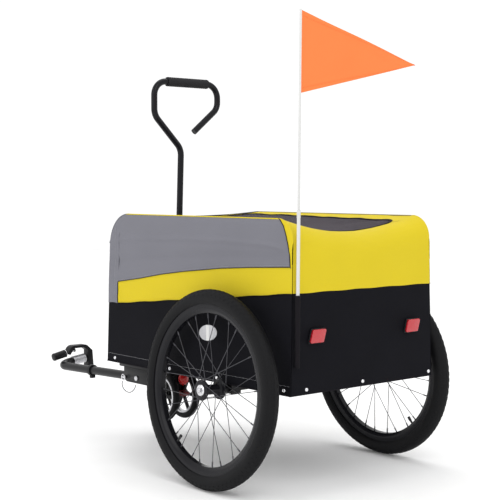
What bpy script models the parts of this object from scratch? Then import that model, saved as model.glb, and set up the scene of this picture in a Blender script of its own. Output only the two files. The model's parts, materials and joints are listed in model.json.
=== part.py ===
"""Two-wheel cargo trailer for a bicycle that is also a hand cart.

Fabric box on a steel tube frame, two 20 inch spoked wheels, a side drawbar with a spring hitch,
a twin steering castor with its pull handle, and a pennant on a pole.
+X points to the bicycle, +Y to the left, +Z up, in metres. The axle frame has its origin on the
ground under the axle, and the empty "trailer" moves all of it so that the origin of the file is
the middle of the trailer's base.
"""

import math

import bmesh
import bpy
from mathutils import Matrix, Vector

# ---------------------------------------------------------------- driving dimensions
GAP = 0.0003  # clearance between pieces that touch

WHEEL_RADIUS = 0.250
TYRE_RADIUS = 0.022
CAMBER = math.radians(3.15)  # the wheels' tops lean inwards
RIM_OUTER_RADIUS = 0.213
RIM_INNER_RADIUS = 0.191
RIM_HALF_WIDTH = 0.014
SPOKE_COUNT = 28
SPOKE_RADIUS = 0.0010
SPOKE_CROSSING = math.radians(52)
HUB_FLANGE_RADIUS = 0.026
HUB_FLANGE_THICKNESS = 0.005
HUB_BARREL_RADIUS = 0.0125
HUB_OUTER_END = 0.026
HUB_INNER_END = -0.0385
AXLE_RADIUS = 0.006
AXLE_CAP_RADIUS = 0.0145
AXLE_CAP_THICKNESS = 0.0037
BUTTON_TRAVEL = 0.003
VALVE_ANGLE = math.radians(51)  # measured from +X downwards
VALVE_LENGTH = 0.024
REFLECTOR_PLACE_RADIUS = 0.1417
REFLECTOR_ANGLE = math.radians(-84.4)
REFLECTOR_LENGTH = 0.070
REFLECTOR_HEIGHT = 0.040

BOX_REAR = -0.241
BOX_FRONT = 0.537
BOX_HALF_WIDTH = 0.253
BOX_BOTTOM = 0.257
BOX_TOP = 0.680
TRACK = 2 * BOX_HALF_WIDTH + 0.107  # between the wheels' middle planes at axle height
BOX_LEAN = math.radians(1.4)  # the side walls lean inwards
REAR_CORNER_RADIUS = 0.055
FRONT_CORNER_RADIUS = 0.085
FABRIC = 0.003
REAR_SAG = 0.040  # how far the cloth hangs at the middle of the rear top edge
FRONT_SAG = 0.008

FRAME_TUBE_RADIUS = 0.011
HOOP_TUBE_RADIUS = 0.008
FLOOR_THICKNESS = 0.004
CROSS_MEMBERS = (0.10, BOX_FRONT - 0.177)
AXLE_TUBE_RADIUS = 0.0095

WINDOW_REAR = -0.160
WINDOW_FRONT = BOX_FRONT - 0.112
WINDOW_HALF_WIDTH = BOX_HALF_WIDTH - 0.058
WINDOW_CORNER = 0.025
WINDOW_THICKNESS = 0.0016

BAR_SIDE = BOX_HALF_WIDTH - 0.053
BAR_PIVOT_X = BOX_FRONT - 0.095
BAR_PIVOT_Z = 0.214
BAR_SLOPE = math.radians(2.0)  # the bar runs down towards the bicycle
BAR_RADIUS = 0.0125
BAR_STRAIGHT = 0.403  # from the pivot to the bend
BAR_TAIL = 0.019
BAR_BEND_RADIUS = 0.050
BAR_BEND_RISE = math.radians(8)
RECEIVER_FRONT = BAR_PIVOT_X + 0.063
RECEIVER_LENGTH = 0.150
RECEIVER_HEIGHT = 0.042
RECEIVER_WALL = 0.003
RECEIVER_CLEARANCE = 0.002
PIVOT_BOLT_RADIUS = 0.004
LOCK_PIN_RADIUS = 0.003
LOCK_PIN_FORWARD = 0.057
STRAP_CLIP_X = 0.256  # from the pivot, along the bar

SPRING_RADIUS = 0.015
SPRING_LENGTH = 0.050
SPRING_WIRE_RADIUS = 0.0028
SPRING_TURNS = 8
CLAMP_DEPTH = 0.028
JAW_GAP = 0.0215
SCREW_RADIUS = 0.004
SCREW_TILT = math.radians(12)
LUG_REACH = 0.0715  # from the jaw face to the lug that holds the screw
LUG_DROP = 0.0135  # the screw is this far under the arch
KNOB_RADIUS = 0.012
KNOB_LENGTH = 0.043

STEER_X = BOX_FRONT + 0.021
STEER_Y = -0.012
CASTOR_TRAIL = 0.020
CASTOR_AXLE_Z = 0.125
CASTOR_RADIUS = 0.077
CASTOR_TYRE_RADIUS = 0.0095
CASTOR_SPREAD = 0.038  # from the middle to each wheel's middle plane
CASTOR_AXLE_RADIUS = 0.004
STEERER_RADIUS = 0.011
HEAD_TUBE_RADIUS = 0.0165
HEAD_TUBE_BOTTOM = 0.206
HEAD_TUBE_TOP = 0.262

HANDLE_PIVOT_Z = 0.315
HANDLE_TUBE_RADIUS = 0.0095
HANDLE_TAIL = 0.010  # how far the handle reaches below its pivot pin
HANDLE_TOP = 1.067
GRIP_RADIUS = 0.014
GRIP_LEFT = 0.022
GRIP_RIGHT = -0.130

FLAG_X = -0.2500
FLAG_Y = BOX_HALF_WIDTH - 0.014
FLAG_LEAN = math.radians(0.64)
POCKET_BOTTOM = 0.330
POCKET_TOP = 0.4985
POLE_RADIUS = 0.0043
POLE_TIP_RADIUS = 0.003
POLE_JOINT_Z = 0.700
POLE_TOP = 1.171
FLAG_BOTTOM = 0.974
FLAG_LENGTH = 0.402
FLAG_TIP_DROP = 0.001  # the tip lies this far under the middle of the hoist

TAIL_REFLECTOR_Y = 0.169
TAIL_REFLECTOR_Z = 0.397
TAIL_REFLECTOR_WIDTH = 0.048
TAIL_REFLECTOR_HEIGHT = 0.036
TAIL_REFLECTOR_SLANT = 0.010

# ---------------------------------------------------------------- sizes that follow from them
CORNER_OVERLAP = 0.002  # cloth past the end of a rounded corner
REAR_TOP_X = BOX_REAR + 0.004
FRONT_TOP_X = BOX_FRONT - 0.006
AXLE_Z = (WHEEL_RADIUS - TYRE_RADIUS) * math.cos(CAMBER) + TYRE_RADIUS
AXLE_TUBE_Z = AXLE_Z - (TRACK / 2 - BOX_HALF_WIDTH) * math.tan(CAMBER) - GAP
FRAME_Z = BOX_BOTTOM + 0.002 + FRAME_TUBE_RADIUS
FRAME_HALF_WIDTH = BOX_HALF_WIDTH - FABRIC - 0.002 - FRAME_TUBE_RADIUS
FRAME_REAR = BOX_REAR + FABRIC + 0.003 + FRAME_TUBE_RADIUS
FRAME_FRONT = BOX_FRONT - FABRIC - 0.004 - FRAME_TUBE_RADIUS
FRAME_TOP = FRAME_Z + FRAME_TUBE_RADIUS
FRAME_BOTTOM = FRAME_Z - FRAME_TUBE_RADIUS
BAR_END_X = BAR_PIVOT_X + BAR_STRAIGHT + BAR_BEND_RADIUS
FRONT_END = BAR_END_X + CLAMP_DEPTH / 2
REAR_END = -WHEEL_RADIUS
if FLAG_X - 0.0075 < REAR_END:
    REAR_END = FLAG_X - 0.0075
MIDDLE_X = (FRONT_END + REAR_END) / 2

# ---------------------------------------------------------------- scene helpers
for leftover in list(bpy.data.objects):
    bpy.data.objects.remove(leftover, do_unlink=True)

PARTS = bpy.data.collections.new("cargo_bicycle_trailer")
CUTTERS = bpy.data.collections.new("cutters")
CUTTERS.hide_render = True
bpy.context.scene.collection.children.link(PARTS)
bpy.context.scene.collection.children.link(CUTTERS)


def material(name, colour, roughness, metallic=0.0):
    made = bpy.data.materials.new(name)
    made.use_nodes = True
    shader = made.node_tree.nodes["Principled BSDF"]
    shader.inputs["Base Color"].default_value = (*colour, 1.0)
    shader.inputs["Roughness"].default_value = roughness
    shader.inputs["Metallic"].default_value = metallic
    return made


BLACK_PAINT = material("black_paint", (0.016, 0.016, 0.018), 0.38)
BLACK_CLOTH = material("black_cloth", (0.014, 0.014, 0.018), 0.85)
YELLOW_CLOTH = material("yellow_cloth", (0.66, 0.52, 0.03), 0.80)
GREY_CLOTH = material("grey_cloth", (0.17, 0.175, 0.19), 0.85)
MESH_CLOTH = material("mesh_cloth", (0.05, 0.045, 0.055), 0.9)
ORANGE_CLOTH = material("orange_cloth", (1.0, 0.24, 0.07), 0.7)
BLACK_PLASTIC = material("black_plastic", (0.02, 0.02, 0.022), 0.5)
RED_PLASTIC = material("red_plastic", (0.35, 0.01, 0.012), 0.35)
RED_LENS = material("red_lens", (0.5, 0.02, 0.03), 0.15)
CLEAR_LENS = material("clear_lens", (0.75, 0.75, 0.78), 0.15)
RUBBER = material("rubber", (0.025, 0.025, 0.028), 0.8)
FOAM = material("foam", (0.03, 0.03, 0.034), 0.9)
STEEL = material("steel", (0.6, 0.6, 0.62), 0.25, 1.0)
ZINC = material("zinc", (0.55, 0.55, 0.56), 0.35, 1.0)
FIBREGLASS = material("fibreglass", (0.85, 0.84, 0.82), 0.35)


def empty(name, place, turn=(0, 0, 0), parent=None):
    made = bpy.data.objects.new(name, None)
    made.location = place
    made.rotation_euler = turn
    made.parent = parent
    PARTS.objects.link(made)
    return made


def place(name, mesh_or_curve, finish, parent, at=(0, 0, 0), turn=(0, 0, 0)):
    """A named object of the trailer, with its finish, under its parent."""
    made = bpy.data.objects.new(name, mesh_or_curve)
    made.data.name = name
    made.data.materials.clear()
    made.data.materials.append(finish)
    made.location = at
    made.rotation_euler = turn
    made.parent = parent
    PARTS.objects.link(made)
    return made


def smooth(obj, angle=40):
    obj.data.shade_smooth()
    obj.data.set_sharp_from_angle(angle=math.radians(angle))
    return obj


def as_mesh(curve_object):
    """The same object as a closed mesh, so that it can be cut or joined."""
    bpy.context.view_layer.update()
    evaluated = curve_object.evaluated_get(bpy.context.evaluated_depsgraph_get())
    mesh = bpy.data.meshes.new_from_object(evaluated)
    work = bmesh.new()
    work.from_mesh(mesh)
    bmesh.ops.remove_doubles(work, verts=work.verts, dist=0.00001)
    bmesh.ops.recalc_face_normals(work, faces=work.faces)
    work.to_mesh(mesh)
    work.free()
    name = curve_object.name
    parent = curve_object.parent
    where = curve_object.matrix_world.copy()
    bpy.data.objects.remove(curve_object)
    made = bpy.data.objects.new(name, mesh)
    made.parent = parent
    PARTS.objects.link(made)
    made.matrix_world = where
    return made


def hide_as_tool(obj):
    """Moves a shape that only cuts or joins another out of the trailer."""
    PARTS.objects.unlink(obj)
    CUTTERS.objects.link(obj)
    obj.hide_render = True
    obj.display_type = "WIRE"


def combine(base, others, operation):
    for other in others:
        step = base.modifiers.new(operation.lower(), "BOOLEAN")
        step.operation = operation
        step.solver = "EXACT"
        step.object = other
        hide_as_tool(other)
    return base


def join(base, *others):
    return combine(base, others, "UNION")


def cut(base, *others):
    return combine(base, others, "DIFFERENCE")


def bevel(obj, width, segments=2, angle=35):
    step = obj.modifiers.new("bevel", "BEVEL")
    step.width = width
    step.segments = segments
    step.limit_method = "ANGLE"
    step.angle_limit = math.radians(angle)
    return obj


# ---------------------------------------------------------------- shape helpers
def box_mesh(low, high):
    work = bmesh.new()
    size = [b - a for a, b in zip(low, high)]
    middle = [(a + b) / 2 for a, b in zip(low, high)]
    where = Matrix.Translation(middle) @ Matrix.Diagonal((*size, 1.0))
    bmesh.ops.create_cube(work, size=1.0, matrix=where)
    mesh = bpy.data.meshes.new("box")
    work.to_mesh(mesh)
    work.free()
    return mesh


def rod_mesh(start, end, radius, sides=20, end_radius=None):
    """A closed round bar or cone between two points."""
    start, end = Vector(start), Vector(end)
    run = end - start
    turn = Vector((0, 0, 1)).rotation_difference(run).to_matrix().to_4x4()
    work = bmesh.new()
    bmesh.ops.create_cone(
        work,
        cap_ends=True,
        segments=sides,
        radius1=radius,
        radius2=radius if end_radius is None else end_radius,
        depth=run.length,
        matrix=Matrix.Translation((start + end) / 2) @ turn,
    )
    mesh = bpy.data.meshes.new("rod")
    work.to_mesh(mesh)
    work.free()
    return mesh


def turned(name, profile, steps, finish, parent, at=(0, 0, 0), turn=(0, 0, 0)):
    """A shape turned about Z from a closed outline of (radius, height) points."""
    pairs = list(zip(profile, profile[1:] + profile[:1]))
    if sum(a[0] * b[1] - b[0] * a[1] for a, b in pairs) > 0:
        profile = profile[::-1]
    count = len(profile)
    edges = [(index, (index + 1) % count) for index in range(count)]
    if profile_touches_axis(profile):
        edges = [edge for edge in edges if max(profile[edge[0]][0], profile[edge[1]][0]) > 0]
    mesh = bpy.data.meshes.new(name)
    mesh.from_pydata([(radius, 0.0, height) for radius, height in profile], edges, [])
    made = place(name, mesh, finish, parent, at, turn)
    step = made.modifiers.new("turned", "SCREW")
    step.axis = "Z"
    step.steps = steps
    step.render_steps = steps
    step.use_merge_vertices = True
    step.merge_threshold = 0.00001
    return made


def profile_touches_axis(profile):
    return any(radius == 0 for radius, _ in profile)


def rounded(points, radii, steps=6, closed=False):
    """The points of a polyline with an arc of the given radius at each inner corner."""
    count = len(points)
    points = [Vector(p) for p in points]
    path = []
    for index, corner in enumerate(points):
        radius = radii[index]
        at_end = not closed and index in (0, count - 1)
        if at_end or radius == 0:
            path.append(corner)
            continue
        back = (points[index - 1] - corner).normalized()
        ahead = (points[(index + 1) % count] - corner).normalized()
        half = back.angle(ahead) / 2
        reach = radius / math.tan(half)
        centre = corner + (back + ahead).normalized() * (radius / math.sin(half))
        first = corner + back * reach - centre
        last = corner + ahead * reach - centre
        sweep = first.angle(last)
        for step in range(steps + 1):
            share = step / steps
            a = math.sin((1 - share) * sweep) / math.sin(sweep)
            b = math.sin(share * sweep) / math.sin(sweep)
            path.append(centre + first * a + last * b)
    return path


def tube_curve(points, radius, closed=False, sides=4):
    """A round tube along the points; sides is the curve's bevel resolution."""
    curve = bpy.data.curves.new("tube", "CURVE")
    curve.dimensions = "3D"
    curve.bevel_depth = radius
    curve.bevel_resolution = sides
    curve.use_fill_caps = True
    spline = curve.splines.new("POLY")
    spline.points.add(len(points) - 1)
    for point, place_at in zip(spline.points, points):
        point.co = (*place_at, 1.0)
    spline.use_cyclic_u = closed
    return curve


def flat_curve(outlines, thickness):
    """A plate in the XY plane, its middle at z = 0, from closed outlines of (x, y) points."""
    curve = bpy.data.curves.new("plate", "CURVE")
    curve.dimensions = "2D"
    curve.fill_mode = "BOTH"
    curve.extrude = thickness / 2
    for outline in outlines:
        spline = curve.splines.new("POLY")
        spline.points.add(len(outline) - 1)
        for point, corner in zip(spline.points, outline):
            point.co = (corner[0], corner[1], 0.0, 1.0)
        spline.use_cyclic_u = True
    return curve


def sheet_mesh(rows, columns, surface):
    """An open sheet whose corner points come from surface(u, v), with u and v from 0 to 1."""
    work = bmesh.new()
    bmesh.ops.create_grid(work, x_segments=columns, y_segments=rows, size=0.5)
    for corner in work.verts:
        corner.co = surface(corner.co.x + 0.5, corner.co.y + 0.5)
    mesh = bpy.data.meshes.new("sheet")
    work.to_mesh(mesh)
    work.free()
    return mesh


def thicken(obj, thickness):
    """Gives a sheet its thickness on the side that its faces point away from."""
    step = obj.modifiers.new("thickness", "SOLIDIFY")
    step.thickness = thickness
    step.offset = -1
    step.use_even_offset = True
    return obj


# ---------------------------------------------------------------- frame
def base_frame(trailer):
    corner = 0.030
    outline = [
        (FRAME_REAR, -FRAME_HALF_WIDTH, FRAME_Z),
        (FRAME_FRONT, -FRAME_HALF_WIDTH, FRAME_Z),
        (FRAME_FRONT, FRAME_HALF_WIDTH, FRAME_Z),
        (FRAME_REAR, FRAME_HALF_WIDTH, FRAME_Z),
    ]
    path = rounded(outline, [corner] * 4, steps=4, closed=True)
    tube = tube_curve(path, FRAME_TUBE_RADIUS, closed=True)
    frame = as_mesh(place("base_frame", tube, BLACK_PAINT, trailer))
    members = []
    for x in CROSS_MEMBERS:
        ends = ((x, -FRAME_HALF_WIDTH, FRAME_Z), (x, FRAME_HALF_WIDTH, FRAME_Z))
        rod = rod_mesh(*ends, FRAME_TUBE_RADIUS * 0.86, sides=12)
        members.append(place("cross_member", rod, BLACK_PAINT, trailer))
    return join(frame, *members)


def floor_panel(trailer):
    low_x = FRAME_REAR + HOOP_TUBE_RADIUS + 0.004
    high_x = FRAME_FRONT - HOOP_TUBE_RADIUS - 0.004
    half = FRAME_HALF_WIDTH - HOOP_TUBE_RADIUS - 0.004
    low = (low_x, -half, FRAME_TOP + GAP)
    high = (high_x, half, FRAME_TOP + GAP + FLOOR_THICKNESS)
    return place("floor_panel", box_mesh(low, high), BLACK_CLOTH, trailer)


def side_hoop(name, side, trailer):
    """An upside-down U of thin tube that stands on the base frame and holds the cloth."""
    inset = FABRIC + HOOP_TUBE_RADIUS + 0.0015
    foot_z = FRAME_TOP + GAP
    top_z = BOX_TOP - 0.030
    lean = math.tan(BOX_LEAN)

    def y_at(z):
        return side * (BOX_HALF_WIDTH - inset - lean * (z - BOX_BOTTOM))

    rear = BOX_REAR + FABRIC + 0.003 + HOOP_TUBE_RADIUS
    front = BOX_FRONT - FABRIC - 0.005 - HOOP_TUBE_RADIUS
    corners = [
        (rear, y_at(foot_z), foot_z),
        (rear + 0.004, y_at(top_z), top_z),
        (front - 0.007, y_at(top_z), top_z),
        (front, y_at(foot_z), foot_z),
    ]
    path = rounded(corners, [0, REAR_CORNER_RADIUS - 0.006, FRONT_CORNER_RADIUS - 0.010, 0], steps=6)
    return place(name, tube_curve(path, HOOP_TUBE_RADIUS, sides=4), BLACK_PAINT, trailer)


def front_top_bar(trailer):
    inset = FABRIC + 2 * HOOP_TUBE_RADIUS + 0.0015 + 2 * GAP
    z = BOX_TOP - 0.030
    half = BOX_HALF_WIDTH - inset - math.tan(BOX_LEAN) * (z - BOX_BOTTOM) - GAP
    x = BOX_FRONT - FRONT_CORNER_RADIUS - 0.030
    rod = rod_mesh((x, -half, z), (x, half, z), HOOP_TUBE_RADIUS * 0.85, sides=12)
    return smooth(place("front_top_bar", rod, BLACK_PAINT, trailer))


def axle_tube(trailer):
    half = BOX_HALF_WIDTH - 0.0105
    rod = rod_mesh((0, -half, AXLE_TUBE_Z), (0, half, AXLE_TUBE_Z), AXLE_TUBE_RADIUS, sides=20)
    return smooth(place("axle_tube", rod, BLACK_PAINT, trailer))


def wheel_frame(name, side, trailer):
    """Its origin is the hub's middle and its +Z is the axle, pointing away from the trailer."""
    turn = (-(math.pi / 2 - CAMBER), 0, 0 if side > 0 else math.pi)
    return empty(name, (0, side * TRACK / 2, AXLE_Z), turn, trailer)


def axle_bracket(name, side, trailer, wheel):
    """A block under the frame that clamps the axle tube and holds the wheel's axle."""
    inner = FRAME_HALF_WIDTH - 0.019
    outer = BOX_HALF_WIDTH - 0.0045
    ends = sorted((side * inner, side * outer))
    low = (-0.018, ends[0], AXLE_TUBE_Z - AXLE_TUBE_RADIUS - 0.003)
    high = (0.018, ends[1], FRAME_BOTTOM - GAP)
    bracket = place(name, box_mesh(low, high), BLACK_PAINT, trailer)
    socket_end = HUB_INNER_END - 0.0008
    socket_start = socket_end - 0.024
    tube = rod_mesh((0, 0, socket_start), (0, 0, socket_end), AXLE_TUBE_RADIUS)
    socket = place("socket", tube, BLACK_PAINT, wheel)
    bore = rod_mesh((0, 0, -0.075), (0, 0, 0), AXLE_RADIUS + GAP)
    tube_end = BOX_HALF_WIDTH - 0.0105 + GAP
    seat = rod_mesh(
        (0, side * (inner - 0.01), AXLE_TUBE_Z), (0, side * tube_end, AXLE_TUBE_Z), AXLE_TUBE_RADIUS + GAP
    )
    join(bracket, socket)
    return cut(bracket, place("bore", bore, STEEL, wheel), place("seat", seat, STEEL, trailer))


# ---------------------------------------------------------------- cloth box
def top_height(x, y):
    """The height of the cloth over the box: taut along the hoops, hanging between them."""
    half = BOX_HALF_WIDTH - math.tan(BOX_LEAN) * (BOX_TOP - BOX_BOTTOM)
    share = (x - BOX_REAR) / (BOX_FRONT - BOX_REAR)
    sag = REAR_SAG + (FRONT_SAG - REAR_SAG) * min(max(share, 0.0), 1.0)
    return BOX_TOP - GAP - sag * (1.0 - min(1.0, (y / half) ** 2))


def wall_width(z, inset):
    """Half the width between the side walls at a height, less an inset."""
    return BOX_HALF_WIDTH - inset - math.tan(BOX_LEAN) * (z - BOX_BOTTOM)


def side_panel(name, side, trailer):
    outline = [
        (BOX_REAR, 0.0),
        (BOX_FRONT, 0.0),
        (BOX_FRONT - 0.006, BOX_TOP - BOX_BOTTOM),
        (BOX_REAR + 0.004, BOX_TOP - BOX_BOTTOM),
    ]
    radii = [0.004, 0.004, FRONT_CORNER_RADIUS, REAR_CORNER_RADIUS]
    path = rounded([(x, y, 0) for x, y in outline], radii, steps=7, closed=True)
    middle = side * (BOX_HALF_WIDTH - FABRIC / 2)
    panel = place(name, flat_curve([[(p.x, p.y) for p in path]], FABRIC), GREY_CLOTH, trailer)
    panel.location = (0, middle, BOX_BOTTOM)
    panel.rotation_euler = (math.pi / 2 + side * BOX_LEAN, 0, 0)
    return as_mesh(panel)


def end_panel(name, outwards, x_bottom, x_top, radius, trailer):
    """The front or rear wall: up, round the corner and a little way over the top."""
    inset = FABRIC + 3 * GAP
    top_end = x_top - outwards * (radius + CORNER_OVERLAP)
    arc_steps = 8

    def surface(u, v):
        across = outwards * (2 * u - 1)
        top_z = top_height((x_top + top_end) / 2, across * wall_width(BOX_TOP, inset))
        corners = [(x_bottom, 0, BOX_BOTTOM), (x_top, 0, top_z), (top_end, 0, top_z)]
        path = rounded(corners, [0, radius, 0], steps=arc_steps)
        point = path[round(v * (arc_steps + 2))]
        return Vector((point.x, across * wall_width(point.z, inset), point.z))

    panel = place(name, sheet_mesh(arc_steps + 2, 10, surface), YELLOW_CLOTH, trailer)
    return thicken(panel, FABRIC)


def rear_panel(trailer):
    return end_panel("rear_panel", -1, BOX_REAR, REAR_TOP_X, REAR_CORNER_RADIUS, trailer)


def front_panel(trailer):
    return end_panel("front_panel", 1, BOX_FRONT, FRONT_TOP_X, FRONT_CORNER_RADIUS, trailer)


def cover_sheet(name, low_x, high_x, half, depth, thickness, columns, finish, cover):
    """A piece of the cover's hanging surface, its top face at a depth under the cloth's top."""

    def surface(u, v):
        x = low_x + (high_x - low_x) * u
        y = half * (2 * v - 1)
        return Vector((x, y, top_height(x, y) - depth))

    sheet = place(name, sheet_mesh(12, columns, surface), finish, cover)
    sheet.location = -Vector(cover.location)
    return thicken(sheet, thickness)


def window_outline(inset):
    low, high = WINDOW_REAR + inset, WINDOW_FRONT - inset
    half = WINDOW_HALF_WIDTH - inset
    corners = [(low, -half, 0), (high, -half, 0), (high, half, 0), (low, half, 0)]
    path = rounded(corners, [WINDOW_CORNER - inset] * 4, steps=4, closed=True)
    return [[(point.x, point.y) for point in path]]


def window_tool(name, inset, cover):
    """An upright block with the window's outline, to cut the window out or trim the net."""
    tool = place(name, flat_curve(window_outline(inset), 0.4), STEEL, cover)
    tool.location = (-cover.location.x, 0, BOX_TOP - cover.location.z)
    return as_mesh(tool)


def top_cover(cover):
    low_x = REAR_TOP_X + REAR_CORNER_RADIUS + CORNER_OVERLAP + GAP
    high_x = FRONT_TOP_X - FRONT_CORNER_RADIUS - CORNER_OVERLAP - GAP
    half = wall_width(BOX_TOP, FABRIC + 3 * GAP)
    sheet = cover_sheet("top_cover", low_x, high_x, half, 0.0, FABRIC, 4, YELLOW_CLOTH, cover)
    return cut(sheet, window_tool("window_cutter", 0.0, cover))


def mesh_window(cover):
    spare = 0.004
    depth = (FABRIC - WINDOW_THICKNESS) / 2
    net = cover_sheet(
        "mesh_window",
        WINDOW_REAR - spare,
        WINDOW_FRONT + spare,
        WINDOW_HALF_WIDTH + spare,
        depth,
        WINDOW_THICKNESS,
        4,
        MESH_CLOTH,
        cover,
    )
    return combine(net, [window_tool("window_trim", GAP, cover)], "INTERSECT")


# ---------------------------------------------------------------- tail: reflectors and pennant
def tail_reflector(side, trailer):
    name = "left" if side > 0 else "right"
    lean_x = (REAR_TOP_X - BOX_REAR) * (TAIL_REFLECTOR_Z - BOX_BOTTOM) / (BOX_TOP - BOX_BOTTOM)
    face = BOX_REAR + lean_x - 0.0012
    half_w, half_h = TAIL_REFLECTOR_WIDTH / 2, TAIL_REFLECTOR_HEIGHT / 2
    slant = TAIL_REFLECTOR_SLANT / 2

    def plate(plate_name, finish, margin, thickness, x):
        w, h = half_w - margin, half_h - margin
        corners = [(-w - slant, -h, 0), (w - slant, -h, 0), (w + slant, h, 0), (-w + slant, h, 0)]
        path = rounded(corners, [0.004] * 4, steps=3, closed=True)
        made = place(plate_name, flat_curve([[(p.x, p.y) for p in path]], thickness), finish, trailer)
        made.location = (x, side * TAIL_REFLECTOR_Y, TAIL_REFLECTOR_Z)
        made.rotation_euler = (math.pi / 2, 0, -math.pi / 2)
        return as_mesh(made)

    back, lens = 0.004, 0.006
    plate(name + "_reflector_base", BLACK_PLASTIC, 0.0, back, face - back / 2)
    plate(name + "_reflector", RED_LENS, 0.002, lens, face - back - GAP - lens / 2)


def flag_set(trailer, flag):
    """The pennant, its two-piece pole and, on the box, the cloth pocket that holds the pole."""
    pocket_frame = empty("pocket_frame", flag.location, flag.rotation_euler, trailer)
    depth = POCKET_TOP - POCKET_BOTTOM
    wall = 0.0014
    inner = POLE_RADIUS + 0.0004
    outer = inner + wall
    profile = [(outer, depth), (outer, -0.004), (0.0, -0.004), (0.0, 0.0), (inner, 0.0), (inner, depth)]
    turned("flag_pocket", profile, 16, BLACK_CLOTH, pocket_frame)
    lower_end = POLE_JOINT_Z - POCKET_BOTTOM
    ferrule = rod_mesh((0, 0, GAP), (0, 0, lower_end), POLE_RADIUS, 12)
    smooth(place("lower_flag_pole", ferrule, FIBREGLASS, flag))
    top = POLE_TOP - POCKET_BOTTOM
    upper = rod_mesh((0, 0, lower_end + GAP), (0, 0, top), POLE_TIP_RADIUS, 12)
    smooth(place("upper_flag_pole", upper, FIBREGLASS, flag))
    hoist = POLE_TIP_RADIUS + GAP
    low, high = FLAG_BOTTOM - POCKET_BOTTOM, top - 0.002
    tip = (hoist + FLAG_LENGTH, (low + high) / 2 - FLAG_TIP_DROP)
    pennant = place("flag", flat_curve([[(hoist, low), tip, (hoist, high)]], 0.002), ORANGE_CLOTH, flag)
    pennant.rotation_euler = (math.pi / 2, 0, -math.pi / 2)
    as_mesh(pennant)


# ---------------------------------------------------------------- drawbar and hitch
def drawbar_receiver(trailer):
    """A channel under the frame, open below and in front, that the drawbar turns in."""
    inner = BAR_RADIUS + RECEIVER_CLEARANCE
    outer = inner + RECEIVER_WALL
    top = BAR_PIVOT_Z + 0.027
    low = (RECEIVER_FRONT - RECEIVER_LENGTH, BAR_SIDE - outer, top - RECEIVER_HEIGHT)
    high = (RECEIVER_FRONT, BAR_SIDE + outer, top)
    receiver = place("drawbar_receiver", box_mesh(low, high), BLACK_PAINT, trailer)
    low = (RECEIVER_FRONT - RECEIVER_LENGTH + 0.001, BAR_SIDE - outer + 0.001, top - 0.001)
    high = (FRAME_FRONT + 0.009, BAR_SIDE + outer - 0.001, FRAME_BOTTOM - GAP)
    join(receiver, place("hanger", box_mesh(low, high), BLACK_PAINT, trailer))
    low = (RECEIVER_FRONT - RECEIVER_LENGTH - 0.01, BAR_SIDE - inner, top - RECEIVER_HEIGHT - 0.01)
    high = (RECEIVER_FRONT + 0.01, BAR_SIDE + inner, top - RECEIVER_WALL)
    hollow = place("hollow", box_mesh(low, high), STEEL, trailer)
    ends = ((BAR_PIVOT_X, 0.1, BAR_PIVOT_Z), (BAR_PIVOT_X, 0.3, BAR_PIVOT_Z))
    bolt_hole = rod_mesh(*ends, PIVOT_BOLT_RADIUS + GAP, 16)
    pin_x, pin_z = lock_pin_place()
    ends = ((pin_x, BAR_SIDE, pin_z), (pin_x, 0.3, pin_z))
    pin_hole = rod_mesh(*ends, LOCK_PIN_RADIUS + GAP, 16)
    return cut(
        receiver,
        hollow,
        place("bolt_hole", bolt_hole, STEEL, trailer),
        place("pin_hole", pin_hole, STEEL, trailer),
    )


def lock_pin_place():
    x = BAR_PIVOT_X + LOCK_PIN_FORWARD * math.cos(BAR_SLOPE)
    return x, BAR_PIVOT_Z - LOCK_PIN_FORWARD * math.sin(BAR_SLOPE) - 0.001


def pivot_bolt(trailer):
    outer = BAR_RADIUS + RECEIVER_CLEARANCE + RECEIVER_WALL
    left, right = BAR_SIDE + outer + GAP, BAR_SIDE - outer - GAP

    def across(start, end, radius, sides):
        ends = ((BAR_PIVOT_X, start, BAR_PIVOT_Z), (BAR_PIVOT_X, end, BAR_PIVOT_Z))
        return rod_mesh(*ends, radius, sides)

    shank = across(right - 0.007, left + 0.001, PIVOT_BOLT_RADIUS, 16)
    bolt = place("pivot_bolt", shank, STEEL, trailer)
    head = across(left, left + 0.004, 0.0072, 16)
    nut = across(right - 0.006, right, 0.0075, 6)
    return join(bolt, place("bolt_head", head, STEEL, trailer), place("bolt_nut", nut, STEEL, trailer))


def lock_pin(trailer):
    """A pull pin; its shank ends beside the bar, so that each of the two can move alone."""
    x, z = lock_pin_place()
    wall = BAR_SIDE + BAR_RADIUS + RECEIVER_CLEARANCE + RECEIVER_WALL
    pin_frame = empty("lock_pin_frame", (x, wall, z), (0, 0, 0), trailer)
    start = -(RECEIVER_WALL + RECEIVER_CLEARANCE) + 0.0006
    shank = rod_mesh((0, start, 0), (0, 0.006, 0), LOCK_PIN_RADIUS, 14)
    pin = place("lock_pin", shank, STEEL, pin_frame)
    collar = rod_mesh((0, GAP, 0), (0, 0.003, 0), 0.006, 14)
    reach = 0.008
    low, high = (-reach, 0.0065, -reach), (reach, 0.0065, reach)
    corners = [low, (reach, 0.0065, -reach), high, (-reach, 0.0065, reach)]
    wire = tube_curve(rounded(corners, [0.0075] * 4, 3, True), 0.0014, closed=True, sides=2)
    loop = as_mesh(place("pull_ring", wire, STEEL, pin_frame))
    boss = rod_mesh((-0.0085, 0.0062, 0), (0.0085, 0.0062, 0), 0.0021, 8)
    join(pin, place("collar", collar, STEEL, pin_frame), place("boss", boss, STEEL, pin_frame), loop)
    return pin


LANYARD_POINTS = (  # from the pivot, in x and y, and from the ground in z
    (0.0570, 0.0262, 0.1995),
    (0.0555, 0.0290, 0.1915),
    (0.0460, 0.0310, 0.1810),
    (0.0320, 0.0300, 0.1735),
    (0.0170, 0.0280, 0.1730),
    (0.0060, 0.0255, 0.1790),
    (0.0000, 0.0232, 0.1880),
    (-0.0020, 0.0212, 0.1960),
)
LANYARD_RADIUS = 0.0011


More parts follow.
